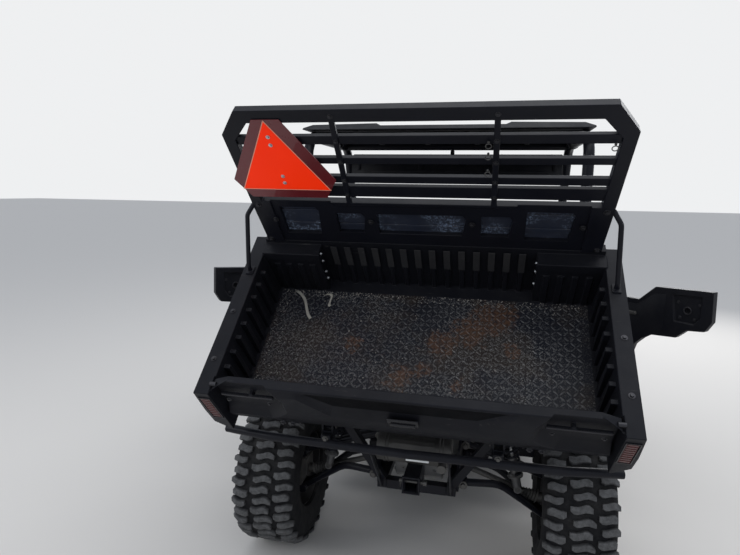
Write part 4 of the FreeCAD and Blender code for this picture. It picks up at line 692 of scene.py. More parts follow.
# Cargo bed. A one-piece moulded tub, tipped about its hinge. Its own axes are used here: x across,
# v forward from the rear end and w up from the floor.
HINGE = next(row["pos_m"] for row in frame["joints"] if row["name"] == "bed_tilt")
BED_TILT = radians(42.2)
HINGE_V, HINGE_W = 0.08, -0.1
on_bed = (Matrix.Translation(HINGE) @ Matrix.Rotation(BED_TILT, 4, "X")
          @ Matrix.Translation((0, -HINGE_V, -HINGE_W)))
# The blue in this near black base colour is a painted tint of the sky's light.
tub_plastic = finish("bed_tub_plastic", rgb(0.008, 0.0084, 0.0112), 0.42, dusty=0.02, grain=700.0, relief=0.2,
                     worn=0.7, worn_colour=rgb(0.07, 0.068, 0.065), shine=0.12)
dress(["bed_tub"], tub_plastic, 0.0025)


def bed_piece(name, bm, material, body="bed"):
    bmesh.ops.transform(bm, matrix=on_bed, verts=bm.verts)
    return piece(name, bm, material, body)


bm = bmesh.new()
for hand, dots in ((-1, (0.216, 0.17, 0.099, 0.053)), (1, (0.213, 0.163, 0.085))):
    for w in dots:
        hex_bolt(bm, (hand * 0.4458, 0.7, w), -X * hand, 0.0095)
bed_piece("box_screws", bm, zinc)
# Lighter faces on the upper half of each rib of the tub's front wall. Their lighter colour is painted light,
# where that half of the wall is less shaded. Their scuffs and dust are real wear.
rib_faces = finish("rubbed_rib_faces", rgb(0.021, 0.021, 0.023), 0.55, dusty=0.25, grain=500.0,
                   relief=0.3, worn=0.6, shine=0.25)
bm = bmesh.new()
for k in range(14):
    x = (k - 6.5) * 0.06
    block(bm, (x - 0.0135, 0.7176, 0.128), (x + 0.0135, 0.7194, 0.243), 0.0007, 1)
bed_piece("rubbed_ribs", bm, rib_faces)
dark_bolt = finish("black_oxide_steel", rgb(0.035, 0.035, 0.04), 0.4, dusty=0.15, grain=1100.0, relief=0.06,
                   metal=0.8)
bm = bmesh.new()
for _, hand in SIDES:
    for v in (0.14, 0.36, 0.58):
        hex_bolt(bm, (hand * 0.728, v, 0.2362), Z, 0.012)
bed_piece("tub_screws", bm, dark_bolt)

# Tread plate on the bed's floor. A rolled steel sheet with crossed raised lugs, painted near black,
# dusty all over, with rust where loads have worn it and pale grit along its front edge.
LUG_PITCH = 0.024
(x0, v0), (x1, v1) = (-0.664, 0.07), (0.664, 0.664)
# The blue in this near black base colour is a painted tint of the sky's light.
plate_paint = finish("worn_tread_plate", rgb(0.006, 0.007, 0.012), 0.46, dusty=0.1, grain=260.0,
                     relief=0.15, worn=1.0, worn_colour=rgb(0.16, 0.16, 0.165),
                     dust_colour=rgb(0.13, 0.125, 0.12), cloud=5.0, shine=0.15)
tree, at, plain, colour = opened(plate_paint)
speckle = spread(tree, noise(tree, at, 170.0, 3.0, 0.8), 0.54, 0.63)
patches = spread(tree, noise(tree, at, 4.0, 4.0), 0.36, 0.58, 0.25, 1.0)
flecks = times(tree, times(tree, speckle, patches), 0.72, True)
browned = times(tree, spread(tree, noise(tree, at, 3.1, 5.0, 0.7), 0.47, 0.62), 0.75)
plain = mix(tree, browned, plain, rgb(0.03, 0.022, 0.017))
specked = mix(tree, flecks, plain, rgb(0.25, 0.245, 0.235))
worn_spots = None
# place across and along the bed, radius
for x, v, r in ((0.09, 0.43, 0.075), (0.2, 0.49, 0.085), (0.28, 0.56, 0.095), (0.33, 0.59, 0.06),
                (-0.06, 0.26, 0.055), (0.03, 0.29, 0.03), (0.16, 0.24, 0.03), (0.02, 0.13, 0.03),
                (-0.28, 0.4, 0.03), (0.36, 0.42, 0.035)):
    away = node(tree, "VectorMath", {0: at, 1: on_bed @ Vector((x, v, 0.0))}, operation="DISTANCE")
    away = away.outputs["Value"]
    ragged = math(tree, "ADD", away, spread(tree, noise(tree, at, 28.0, 6.0, 0.8), 0.3, 0.7, -0.055, 0.055))
    spot = spread(tree, ragged, r * 0.6, r * 0.95, 1.0, 0.0)
    worn_spots = spot if worn_spots is None else math(tree, "MAXIMUM", worn_spots, spot)
crumbly = spread(tree, noise(tree, at, 75.0, 5.0, 0.8), 0.4, 0.56)
rusted = times(tree, times(tree, worn_spots, crumbly), 0.95, True)
tree.links.new(mix(tree, rusted, specked, rgb(0.09, 0.046, 0.027)), colour)
bm = bmesh.new()
block(bm, (x0, v0, 0.0002), (x1, v1, 0.0018))
bed_piece("tread_plate_sheet", bm, plate_paint)
bm = bmesh.new()
for i, j in ((0, 0), (1, 0), (0, 1), (1, 1)):
    lean = radians(45 if (i + j) % 2 else -45)
    at = Vector((x0 + LUG_PITCH * (i + 0.6), v0 + LUG_PITCH * (j + 0.6), 0.0024))
    flat = Matrix.Translation(at) @ Matrix.Rotation(lean, 4, "Z") @ Matrix.Diagonal((1.0, 0.3, 1.0, 1.0))
    cone(bm, 6, 0.0135, 0.0075, 0.0013, flat)
lug_tops = plate_paint.copy()
lug_tops.name = "worn_tread_lugs"
lug_tops.node_tree.nodes["Principled BSDF"].inputs["Specular IOR Level"].default_value = 0.8
lugs = bed_piece("tread_plate_lugs", bm, lug_tops)
for name, way, reach in (("across", X, x1 - x0), ("along", on_bed.to_3x3() @ Y, v1 - v0)):
    repeat = lugs.modifiers.new(name, "ARRAY")
    repeat.count = int(reach / (2 * LUG_PITCH))
    repeat.use_relative_offset = False
    repeat.use_constant_offset = True
    repeat.constant_offset_displace = way * 2 * LUG_PITCH

grit = finish("pale_grit", rgb(0.3, 0.28, 0.25), 0.9, dusty=0.3, grain=500.0, relief=0.5)
GRIT_COUNT = 520
chance = Random(7)
bm = bmesh.new()
for k in range(GRIT_COUNT):
    if k % 3:
        x, v = chance.uniform(-0.64, 0.64), 0.662 - abs(chance.gauss(0, 0.022))
    else:
        x, v = chance.uniform(-0.655, 0.655), chance.uniform(0.09, 0.66)
        if k % 2:
            x = -0.655 + abs(chance.gauss(0, 0.05))
    size = chance.uniform(0.0012, 0.0036)
    turn = Matrix.Rotation(chance.uniform(0, 3), 4, (chance.random(), chance.random(), 0.3))
    flat = Matrix.Diagonal((size, size * 0.7, size * 0.5, 1))
    place = Matrix.Translation((x, v, 0.002 + size * 0.4)) @ turn @ flat
    bmesh.ops.create_icosphere(bm, subdivisions=1, radius=1.0, matrix=place)
bed_piece("grit_on_floor", bm, grit)

# two scraps of pale strap that lie at the front left corner of the floor
strap = finish("pale_strap", rgb(0.38, 0.36, 0.31), 0.8, dusty=0.3, grain=900.0, relief=0.5)
bm = bmesh.new()
for (ax, av), (bx, bv), sway in (((-0.598, 0.655), (-0.483, 0.512), 0.012),
                                 ((-0.455, 0.64), (-0.405, 0.592), 0.02)):
    before = set(bm.verts)
    bmesh.ops.create_grid(bm, x_segments=14, y_segments=1, size=0.5)
    made = [v for v in bm.verts if v not in before]
    run = Vector((bx - ax, bv - av, 0))
    side = Vector((-run.y, run.x, 0)).normalized()
    for v in made:
        share = v.co.x + 0.5
        ahead = Vector((ax, av, 0.0042)) + run * share + side * (v.co.y * 0.013 + sway * sin(share * 5))
        v.co = ahead + Z * (0.004 * abs(sin(share * 9)))
scraps = bed_piece("strap_scraps", bm, strap)
scraps.modifiers.new("thickness", "SOLIDIFY").thickness = 0.0012

# Tail lamps. Smoked red lenses let into the tub's rear corners, ribbed across, with a dark frame
# round each.
lens_red = finish("smoked_red_lens", rgb(0.055, 0.004, 0.004), 0.2, dusty=0.06, grain=160.0, relief=0.2,
                  worn=0.1, coat=0.15, shine=0.25)
dress(["tail_lamps"], lens_red, 0.003)
ribs, frames = bmesh.new(), bmesh.new()
for x in (-0.726, 0.726):
    for k in range(9):
        w = 0.061 + k * 0.016
        block(ribs, (x - 0.016, -0.0084, w), (x + 0.016, -0.0068, w + 0.008), 0.0006, 1)
    for left, right, low, high in ((-0.024, -0.0195, 0.046, 0.204), (0.0195, 0.024, 0.046, 0.204),
                                   (-0.024, 0.024, 0.2, 0.2045), (-0.024, 0.024, 0.0455, 0.05)):
        block(frames, (x + left, -0.0088, low), (x + right, 0.0, high), 0.001, 1)
bed_piece("tail_lamp_ribs", ribs, lens_red)
bed_piece("tail_lamp_frames", frames, smooth_plastic)

# Tailgate. A moulded gate between the tub's sides. Two rods from a middle handle hold it shut, and
# it turns on two pins low on the tub. A band across it is sunken, its shade painted on a dark sheet,
# and loading has scuffed the gate.
dress(["tailgate"], tub_plastic, 0.003)
bm = bmesh.new()
for _, hand in SIDES:
    bar(bm, (hand * 0.7, 0.034, 0.242), (hand * 0.676, 0.034, 0.242), 0.0085, 18)
    bar(bm, (hand * 0.47, 0.0265, 0.19), (hand * 0.668, 0.0265, 0.19), 0.0062, 18)
    for x in (0.49, 0.65):
        hex_bolt(bm, (hand * x, 0.021, 0.158), -Y, 0.01)
    for x in (0.43, 0.47):
        hex_bolt(bm, (hand * x, 0.0095, 0.03), -Y, 0.012)
bed_piece("gate_latch_rods", bm, dark_bolt, body="tailgate")
# A thin near black sheet over the gate's sunken middle band. Its dark colour is painted shade, the shade of
# the recess under the gate's top.
band_shade = finish("sunken_band", rgb(0.0032, 0.0034, 0.0045), 0.65, dusty=0.03, relief=0.3, worn=0.2,
                    shine=0.06)
BAND = ((-0.362, 0.2525), (0.362, 0.2525), (0.25, 0.1735), (-0.25, 0.1735))


def swept(bm, corners, shift):
    """A closed form between the outline and the outline moved by the shift."""
    face = bm.faces.new([bm.verts.new(corner) for corner in corners])
    far = bmesh.ops.extrude_face_region(bm, geom=[face])["geom"]
    bmesh.ops.translate(bm, vec=shift, verts=[g for g in far if isinstance(g, bmesh.types.BMVert)])


bm = bmesh.new()
swept(bm, [(x, 0.029, w) for x, w in BAND], Y * 0.0012)
face_out(bm)
bed_piece("gate_band", bm, band_shade, body="tailgate")
bm = bmesh.new()
block(bm, (-0.055, 0.0035, 0.12), (0.055, 0.0095, 0.165), 0.0025)
block(bm, (-0.045, -0.0035, 0.126), (0.045, 0.0045, 0.142), 0.003)
bed_piece("gate_handle", bm, smooth_plastic, body="tailgate")

# Bed rack. Cut and folded steel plate for its foot, tubes and flats above, bolted to the front of the
# tub. Rings for straps hang beside the right upright. A dark sheet behind the foot's windows is painted
# shade for what is seen through them, with painted bluish reflections of the sky.
RACK_FACE = 0.7238
bm = bmesh.new()
for size, across, heights in ((0.013, (-0.607, -0.205, 0.191, 0.592), (0.394,)),
                              (0.013, (-0.66, 0.66), (0.275, 0.475)),
                              (0.01, (-0.277, 0.269), (0.534, 0.606, 0.693, 0.783, 0.885))):
    for x in across:
        for w in heights:
            hex_bolt(bm, (x, RACK_FACE, w), -Y, size)
bed_piece("rack_bolts", bm, dark_bolt)
bm = bmesh.new()
for x, w in ((0.243, 0.768), (0.243, 0.722), (0.243, 0.65), (0.632, 0.759)):
    hoop(bm, (x, 0.7165, w), Y, 0.0095, 0.0018, 24, 8)
    hex_bolt(bm, (x, 0.7235, w + 0.013), -Y, 0.008, washer=False)
bed_piece("strap_rings", bm, dull_steel)
# A dark sheet behind the foot's windows. Its near black colour is painted shade for the dark seen through
# them, and its bluish spots are painted reflections of the sky. Its dust is real.
window_shade_sheet = finish("smoked_dusty_sheet", rgb(0.016, 0.02, 0.033), 0.38, grain=300.0, relief=0.2, shine=0.3)
tree, at, plain, colour = opened(window_shade_sheet)
painted_sky_spots = times(tree, spread(tree, noise(tree, at, 95.0, 3.0, 0.8), 0.5, 0.6),
             spread(tree, noise(tree, at, 7.0, 3.0), 0.48, 0.62), True)
tree.links.new(mix(tree, painted_sky_spots, plain, rgb(0.17, 0.22, 0.31)), colour)
bm = bmesh.new()
block(bm, (-0.6, 0.75, 0.29), (0.6, 0.754, 0.475))
for w in (0.345, 0.418):
    block(bm, (-0.6, 0.7455, w), (0.6, 0.7505, w + 0.016), 0.001, 1)
bed_piece("rack_sheet", bm, window_shade_sheet)

# Slow vehicle triangle. A fluorescent orange film with a painted glow, inside a dark red reflective
# border on sheet metal with cut tips, a thin pale line where the film ends, four bolts on its upright.
dark_film = finish("dark_red_border_film", rgb(0.11, 0.006, 0.01), 0.3, dusty=0.12, grain=1400.0, relief=0.08,
                   worn=0.2, coat=0.5)
orange_film = finish("fluorescent_orange_film", rgb(0.9, 0.026, 0.002), 0.45, dusty=0.03, grain=1300.0,
                     relief=0.05, worn=0.25, worn_colour=rgb(0.55, 0.06, 0.02),
                     dust_colour=rgb(0.5, 0.2, 0.12), shine=0.15)
# The film's emission is a painted glow: it makes the orange brighter than the lamps alone would, though the
# film is no lamp.
painted_glow = orange_film.node_tree.nodes["Principled BSDF"].inputs
painted_glow["Emission Color"].default_value = rgb(1.0, 0.03, 0.001)
painted_glow["Emission Strength"].default_value = 0.28
pale_line = finish("pale_edge_film", rgb(0.75, 0.3, 0.2), 0.4, dusty=0.1, grain=1200.0, relief=0.05)
dress(["smv_sign"], dark_film, 0.0006)
TIPS = ((-0.518, 0.871), (-0.686, 0.568), (-0.339, 0.565))
SIGN_FACE = 0.7195
mid_x, mid_w = sum(x for x, _ in TIPS) / 3, sum(w for _, w in TIPS) / 3
for name, grow, deep, paint in (("sign_edge_line", 1.035, 0.7184, pale_line),
                                ("sign_film", 1.0, 0.718, orange_film)):
    bm = bmesh.new()
    swept(bm, [(mid_x + (x - mid_x) * grow, deep, mid_w + (w - mid_w) * grow) for x, w in TIPS],
          Y * (SIGN_FACE - deep))
    face_out(bm)
    bed_piece(name, bm, paint)
bm = bmesh.new()
for x, w in ((-0.518, 0.809), (-0.518, 0.774), (-0.51, 0.631), (-0.511, 0.599)):
    hex_bolt(bm, (x, 0.7178, w), -Y, 0.0085)
bed_piece("sign_bolts", bm, zinc)

# Cage and roof. The bent steel tubes carry a moulded roof whose underside is ribbed, a dark panel
# that closes the gap above the windscreen opening, and clamps that hold both.
dress(["roof"], moulded, 0.004)
roof_liner = finish("roof_underside", rgb(0.022, 0.023, 0.026), 0.6, dusty=0.25, grain=500.0, relief=0.3,
                    worn=0.2)
bm = bmesh.new()
block(bm, (-0.655, -0.5, 1.9795), (0.655, 0.3, 1.9846), 0.002)
for k in range(7):
    y = -0.4 + k * 0.105
    block(bm, (-0.62, y - 0.011, 1.9715), (0.62, y + 0.011, 1.98), 0.0035)
for x in (-0.44, -0.15, 0.15, 0.44):
    block(bm, (x - 0.016, -0.47, 1.969), (x + 0.016, 0.27, 1.98), 0.004)
piece("roof_liner", bm, roof_liner)
bm = bmesh.new()
for x in (-0.225, -0.075, 0.075, 0.225):
    block(bm, (x - 0.022, -0.475, 2.006), (x + 0.022, 0.235, 2.0125), 0.0055, 3)
for _, hand in SIDES:
    block(bm, (hand * 0.5 - 0.018, -0.44, 2.012), (hand * 0.5 + 0.018, 0.2, 2.0185), 0.0055, 3)
piece("roof_beads", bm, moulded)
on_header = Matrix.Translation((0, 0.318, 1.86)) @ Matrix.Rotation(radians(-21.5), 4, "X")
bm = bmesh.new()
block(bm, (-0.664, -0.004, -0.08), (0.664, 0.004, 0.066), 0.0035, 2, on_header)
for z in (-0.062, 0.02):
    block(bm, (-0.58, -0.011, z), (0.58, -0.003, z + 0.014), 0.003, 2, on_header)
for x in (-0.62, -0.21, 0.21, 0.62):
    block(bm, (x - 0.012, -0.01, -0.05), (x + 0.012, -0.003, 0.05), 0.003, 2, on_header)
piece("front_header_panel", bm, moulded)
bm = bmesh.new()
HOOP_X, HOOP_TOP, CLAMP_R = 0.69, 1.96, 0.0285
for _, hand in SIDES:
    x = hand * HOOP_X
    for y in (-0.36, 0.05):
        bar(bm, (x, y - 0.014, HOOP_TOP), (x, y + 0.014, HOOP_TOP), CLAMP_R, 28)
        block(bm, (x - 0.01, y - 0.012, 1.975), (x + 0.01, y + 0.012, 1.9848), 0.002)
        hex_bolt(bm, (x - hand * CLAMP_R, y, HOOP_TOP), -X * hand, 0.012)
    for x in (0.3, 0.6):
        hex_bolt(bm, on_header @ Vector((hand * x, -0.011, 0.052)), -Y, 0.01)
piece("roof_clamps", bm, dark_bolt)

# Inside mirror. A wide glass in a moulded shell under the front cross tube, held by one arm.
dress(["mirror"], smooth_plastic, 0.004)
silver = finish("mirror_glass", rgb(0.78, 0.8, 0.82), 0.04, dusty=0.12, grain=900.0, relief=0.01, worn=0.1,
                worn_colour=rgb(0.5, 0.5, 0.5), metal=1.0)
bm = bmesh.new()
block(bm, (-0.122, 0.2026, 1.8575), (0.122, 0.2045, 1.9025), 0.0009)
piece("mirror_glass", bm, silver)

# Seats. Three moulded foam cushions and three backs with head pads, under black vinyl whose middle
# parts are sewn in channels. Each form is filled from inside as cloth, then its seams are drawn in.
vinyl = finish("seat_vinyl", rgb(0.014, 0.014, 0.016), 0.52, dusty=0.22, grain=620.0, relief=0.28, waves=0.6,
               worn=0.1, shine=0.35)
tree, at, plain, colour = opened(vinyl)
insert = node(tree, "Attribute", attribute_name="insert").outputs["Fac"]
weave = times(tree, node(tree, "TexWave", {"Vector": at, "Scale": 420.0}).outputs["Fac"],
             node(tree, "TexWave", {"Vector": at, "Scale": 420.0}, bands_direction="Z").outputs["Fac"])
woven = mix(tree, times(tree, insert, weave), plain, rgb(0.06, 0.06, 0.064))
tree.links.new(woven, colour)
dress(["seat_base"], moulded, 0.003)


def values_of(points, name):
    """That vector of every point, as one row each."""
    values = numpy.empty(3 * len(points))
    points.foreach_get(name, values)
    return values.reshape(-1, 3)


def inflated(name, bm, voxel, cap):
    """The form remeshed evenly and blown up as cloth, no point moved further than the cap."""
    mesh = bpy.data.meshes.new(name)
    bm.to_mesh(mesh)
    bm.free()
    pad = bpy.data.objects.new(name, mesh)
    scene.collection.objects.link(pad)
    even = pad.modifiers.new("even", "REMESH")
    even.mode = "VOXEL"
    even.voxel_size = voxel
    pad.data = bpy.data.meshes.new_from_object(pad.evaluated_get(bpy.context.evaluated_depsgraph_get()))
    pad.modifiers.clear()
    starts = values_of(pad.data.vertices, "co")
    cloth = pad.modifiers.new("fill", "CLOTH")
    cloth.settings.use_pressure = True
    cloth.settings.uniform_pressure_force = 4.0
    cloth.settings.effector_weights.gravity = 0.0
    cloth.collision_settings.use_collision = False
    for step in range(1, 21):
        scene.frame_set(step)
    pad.data = bpy.data.meshes.new_from_object(pad.evaluated_get(bpy.context.evaluated_depsgraph_get()))
    pad.modifiers.clear()
    moved = values_of(pad.data.vertices, "co") - starts
    length = numpy.linalg.norm(moved, axis=1, keepdims=True)
    held = starts + moved * numpy.minimum(1.0, cap / numpy.maximum(length, 1e-6))
    pad.data.vertices.foreach_set("co", held.ravel())
    scene.frame_set(1)
    finer = pad.modifiers.new("finer", "SUBSURF")
    finer.levels = finer.render_levels = 1
    mesh = bpy.data.meshes.new_from_object(pad.evaluated_get(bpy.context.evaluated_depsgraph_get()))
    bpy.data.objects.remove(pad)
    return mesh


def padded_form(outline, half, round_off):
    """A closed form whose outline in y and z runs across x, all its edges rounded."""
    bm = bmesh.new()
    swept(bm, [(-half, y, z) for y, z in outline], X * 2 * half)
    face_out(bm)
    rounded(bm, bm.edges[:], round_off, 3)
    return bm


SEAT_MIDDLES = (("left", -0.436), ("centre", 0.0), ("right", 0.436))
SEAM_W = 0.007
# name, half width, edge rounding, fill cap, seams across x, seams up the pad, side that is sewn,
# half width of the sewn middle, outline in y and z
PADS = (
    ("cushion", 0.196, 0.022, 0.012, (-0.128, 0.128), (-0.345, -0.255, -0.165, -0.075), Z, 0.128,
     ((-0.438, 0.728), (-0.002, 0.728), (0.004, 0.806), (-0.43, 0.788))),
    ("back", 0.198, 0.018, 0.01, (-0.128, 0.128), (0.9, 0.98, 1.06, 1.14, 1.22), Y, 0.128,
     ((-0.326, 0.834), (-0.405, 0.834), (-0.437, 0.872), (-0.459, 1.3), (-0.448, 1.317), (-0.406, 1.317),
      (-0.39, 1.302), (-0.366, 1.0))),
    ("head", 0.104, 0.012, 0.008, (), (1.44,), Y, 0.07,
     ((-0.401, 1.39), (-0.457, 1.39), (-0.465, 1.402), (-0.463, 1.48), (-0.452, 1.491), (-0.417, 1.491),
      (-0.405, 1.478), (-0.393, 1.404))))
for pad, half, round_off, cap, lengthwise, crosswise, sewn, middle_half, outline in PADS:
    filled = inflated(pad, padded_form(outline, half, round_off), 0.01, cap)
    points = values_of(filled.vertices, "co")
    normals = values_of(filled.vertices, "normal")
    facing = numpy.maximum(0.0, normals @ numpy.array(sewn))
    up_pad = points[:, 1 if sewn is Z else 2]
    in_middle = numpy.abs(points[:, 0]) < middle_half
    depth = numpy.zeros(len(points))
    for x in lengthwise:
        depth += 0.008 * numpy.exp(-((points[:, 0] - x) / SEAM_W) ** 2)
    for place in crosswise:
        depth += in_middle * 0.006 * numpy.exp(-((up_pad - place) / SEAM_W) ** 2)
    points -= normals * (depth * facing)[:, None]
    insert_layer = filled.attributes.new("insert", "FLOAT", "POINT")
    insert_layer.data.foreach_set("value", (in_middle & (facing > 0.5)).astype(float))
    for place, x in SEAT_MIDDLES:
        mesh = filled.copy()
        crease = numpy.sin(points[:, 1] * 31 + x * 9)
        crease = crease * numpy.sin(points[:, 2] * 27 + points[:, 0] * 19 + x * 7)
        dented = points + normals * 0.0012 * crease[:, None] + numpy.array((x, 0, 0))
        mesh.vertices.foreach_set("co", dented.ravel())
        mesh.materials.append(vinyl)
        mesh.polygons.foreach_set("use_smooth", [True] * len(mesh.polygons))
        cover = bpy.data.objects.new(f"{place}_{pad}_pad", mesh)
        scene.collection.objects.link(cover)
        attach(cover, "root")
        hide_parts("seat_cushion" if pad == "cushion" else "seat_backs")
bm = bmesh.new()
for _, x in SEAT_MIDDLES:
    for s in (-0.055, 0.055):
        bar(bm, (x + s, -0.424, 1.3), (x + s, -0.428, 1.4), 0.0068, 18)
    for s in (-0.14, 0.14):
        block(bm, (x + s - 0.015, -0.4695, 0.7155), (x + s + 0.015, -0.456, 0.88), 0.002)
piece("seat_posts", bm, powder_coat, replaces=("seat_backs",))

# Shoulder belts. Black webbing rises behind each seat back, runs over the cage's cross tube through
# a guide and ends in front of the tube in a plated tongue with a red release button.
webbing = finish("belt_webbing", rgb(0.016, 0.016, 0.017), 0.85, dusty=0.2, grain=900.0, relief=0.5, worn=0.0,
                 shine=0.2)
red_button = finish("belt_button", rgb(0.42, 0.02, 0.015), 0.4, dusty=0.1, grain=900.0, relief=0.1, worn=0.2)
straps, guides, buttons = bmesh.new(), bmesh.new(), bmesh.new()
# place across of each seat's belt
for x in (-0.23, 0.2065, 0.23):
    line = [(-0.529, 0.76), (-0.5295, 0.9), (-0.542, 1.18), (-0.54, 1.27), (-0.53, 1.2905),
            (-0.512, 1.296), (-0.4935, 1.289), (-0.486, 1.27), (-0.4865, 1.1), (-0.487, 0.93)]
    rows = [[straps.verts.new((x + s * 0.0085, y, z)) for s in (-1, 0, 1)] for y, z in line]
    for one, other in zip(rows, rows[1:]):
        for k in (0, 1):
            straps.faces.new((one[k], one[k + 1], other[k + 1], other[k]))
    block(guides, (x - 0.012, -0.538, 1.256), (x + 0.012, -0.4885, 1.26), 0.001)
    block(guides, (x - 0.013, -0.4915, 0.905), (x + 0.013, -0.4825, 0.945), 0.002)
    block(buttons, (x - 0.008, -0.4935, 0.9455), (x + 0.008, -0.4805, 0.965), 0.003)
face_out(straps)
belts = piece("seat_belts", straps, webbing)
belts.modifiers.new("thickness", "SOLIDIFY").thickness = 0.0014
piece("belt_guides", guides, zinc)
piece("belt_buttons", buttons, red_button)

# Cab's floor and walls. A moulded tub with ribbed rubber mats on both sides of its tunnel, a back
# panel of black sheet and quarter panels held by push-in clips.
dress(["floor_pan", "cab_back"], moulded, 0.003)
dress(["side_panels"], moulded, 0.004)
mat_rubber = finish("floor_mat_rubber", rgb(0.014, 0.014, 0.014), 0.7, dusty=0.6, grain=400.0, relief=0.3)
FLOOR_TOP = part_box("floor_pan")[0].z + 0.0122
bm = bmesh.new()
for _, hand in SIDES:
    low, high = sorted((hand * 0.125, hand * 0.64))
    block(bm, (low, 0.02, FLOOR_TOP), (high, 0.52, FLOOR_TOP + 0.004), 0.0015)
    for k in range(22):
        x = low + 0.02 + k * 0.0225
        block(bm, (x - 0.005, 0.045, FLOOR_TOP + 0.003), (x + 0.005, 0.495, FLOOR_TOP + 0.008), 0.0015, 1)
    for y in (0.026, 0.508):
        block(bm, (low, y - 0.006, FLOOR_TOP + 0.003), (high, y + 0.006, FLOOR_TOP + 0.013), 0.003)
piece("floor_mats", bm, mat_rubber)
bm = bmesh.new()
for _, hand in SIDES:
    for y, z in ((-0.49, 0.5), (-0.49, 0.7), (-0.49, 0.86), (-0.25, 0.42), (0.05, 0.42), (0.35, 0.42),
                 (0.62, 0.45), (0.66, 0.7), (0.66, 0.88), (-0.18, 0.62), (0.3, 0.56)):
        bar(bm, (hand * 0.7555, y, z), (hand * 0.7585, y, z), 0.009, 18, 0.007)
piece("panel_clips", bm, smooth_plastic)

bm = bmesh.new()
for _, hand in SIDES:
    low, high = sorted((hand * 0.755, hand * 0.7615))
    block(bm, (low, -0.48, 0.362), (high, 0.6, 0.392), 0.003, 3)
    block(bm, (low, -0.48, 0.402), (high, 0.6, 0.408), 0.002)
    for k in range(4):
        block(bm, (low, 0.02 + k * 0.055, 0.452), (high, 0.046 + k * 0.055, 0.52), 0.003)
piece("sill_strips", bm, moulded)

# Dash, column and controls. A moulded dash with a glove box, a shelf, round vents, a row of rocker
# switches and a gauge over the column. The lever stands in a rubber boot, the pedals have rubber pads.
dress(["dash"], moulded, 0.004)
dress(["controls"], powder_coat, 0.0015)
dress(["steering_wheel"], soft_rubber, 0.003)
on_face = Matrix.Translation((0, 0.4365, 1.055)) @ Matrix.Rotation(radians(-10.3), 4, "X")
screen = finish("gauge_glass", rgb(0.01, 0.012, 0.014), 0.08, dusty=0.15, grain=900.0, relief=0.01,
                worn=0.1, coat=1.0)
bm = bmesh.new()
for k in range(6):
    x = -0.16 + k * 0.036
    block(bm, (x - 0.014, -0.009, 0.01), (x + 0.014, 0.002, 0.042), 0.003, 2, on_face)
    block(bm, (x - 0.01, -0.0115, 0.026), (x + 0.01, -0.008, 0.038), 0.0015, 1, on_face)
for x in (-0.6, -0.255, 0.1, 0.61):
    seat = on_face @ Vector((x, -0.002, -0.005))
    hoop(bm, seat, on_face.to_3x3() @ -Y, 0.03, 0.005, 36)
    for k in range(5):
        z = -0.027 + k * 0.0105
        block(bm, (x - 0.026, -0.004, z), (x + 0.026, 0.002, z + 0.0035), 0.001, 1, on_face)
bar(bm, (-0.43, 0.452, 1.172), (-0.43, 0.52, 1.15), 0.062, 40, 0.072)
hoop(bm, (-0.43, 0.4515, 1.1722), (0, -0.95, 0.31), 0.058, 0.006, 40)
piece("dash_vents_and_switches", bm, smooth_plastic)
bm = bmesh.new()
bar(bm, (-0.43, 0.4512, 1.1724), (-0.43, 0.4532, 1.1718), 0.054, 40)
piece("gauge_glass", bm, screen)
bm = bmesh.new()
block(bm, (0.205, 0.4675, 0.925), (0.555, 0.4805, 1.0), 0.006, 3)
block(bm, (0.345, 0.461, 0.984), (0.415, 0.469, 0.994), 0.002)
for x in (-0.62, -0.6, 0.58, 0.6):
    hex_bolt(bm, (x, 0.486, 0.915), -Y, 0.01)
piece("glove_box_door", bm, moulded)
bm = bmesh.new()
for k in range(6):
    r, z = 0.034 - k * 0.0042, 1.052 + k * 0.0075
    hoop(bm, (-0.15, 0.433 - k * 0.0062, z), (0, -0.5, 0.86), r, 0.0046, 28, 8)
for x, w in ((-0.49, 0.072), (-0.36, 0.042)):
    tilt = Matrix.Translation((x, 0.4935, 0.56)) @ Matrix.Rotation(radians(-17.4), 4, "X")
    block(bm, (-w / 2, -0.012, -0.036), (w / 2, -0.004, 0.036), 0.003, 2, tilt)
    for k in range(5):
        z = -0.029 + k * 0.013
        block(bm, (-w / 2 + 0.005, -0.015, z), (w / 2 - 0.005, -0.011, z + 0.0045), 0.001, 1, tilt)
piece("boot_and_pedal_pads", bm, soft_rubber)
WHEEL_HUB = Vector((-0.43, 0.128, 1.165))
STITCH_R = 0.1465
WHEEL_AXIS = Vector((0, -cos(radians(28)), sin(radians(28))))
bm = bmesh.new()
face_on = turned_to(WHEEL_AXIS, WHEEL_HUB)
cone(bm, 40, 0.04, 0.034, 0.016, face_on, 0.016)
rounded(bm, corner_edges(bm, 0.8), 0.003, 3)
for k in range(40):
    a = 2 * pi * k / 40
    seat = turned_to(WHEEL_AXIS, face_on @ Vector((STITCH_R * cos(a), STITCH_R * sin(a), 0.0)))
    bmesh.ops.create_cube(bm, size=1.0, matrix=seat @ Matrix.Diagonal((0.003, 0.003, 0.004, 1)))
piece("wheel_cap_and_stitches", bm, smooth_plastic, "steering_wheel")

# Half doors. A moulded skin over a steel frame on each side, standing open. The inside has a raised
# field, a latch plate with a round striker ring and a pull strap, and the hinge pins have heads.
dress(["door_left", "door_right"], moulded, 0.004)
PIN_X, PIN_Y = 0.745, 0.378
pin = Vector((PIN_X, PIN_Y, 0))
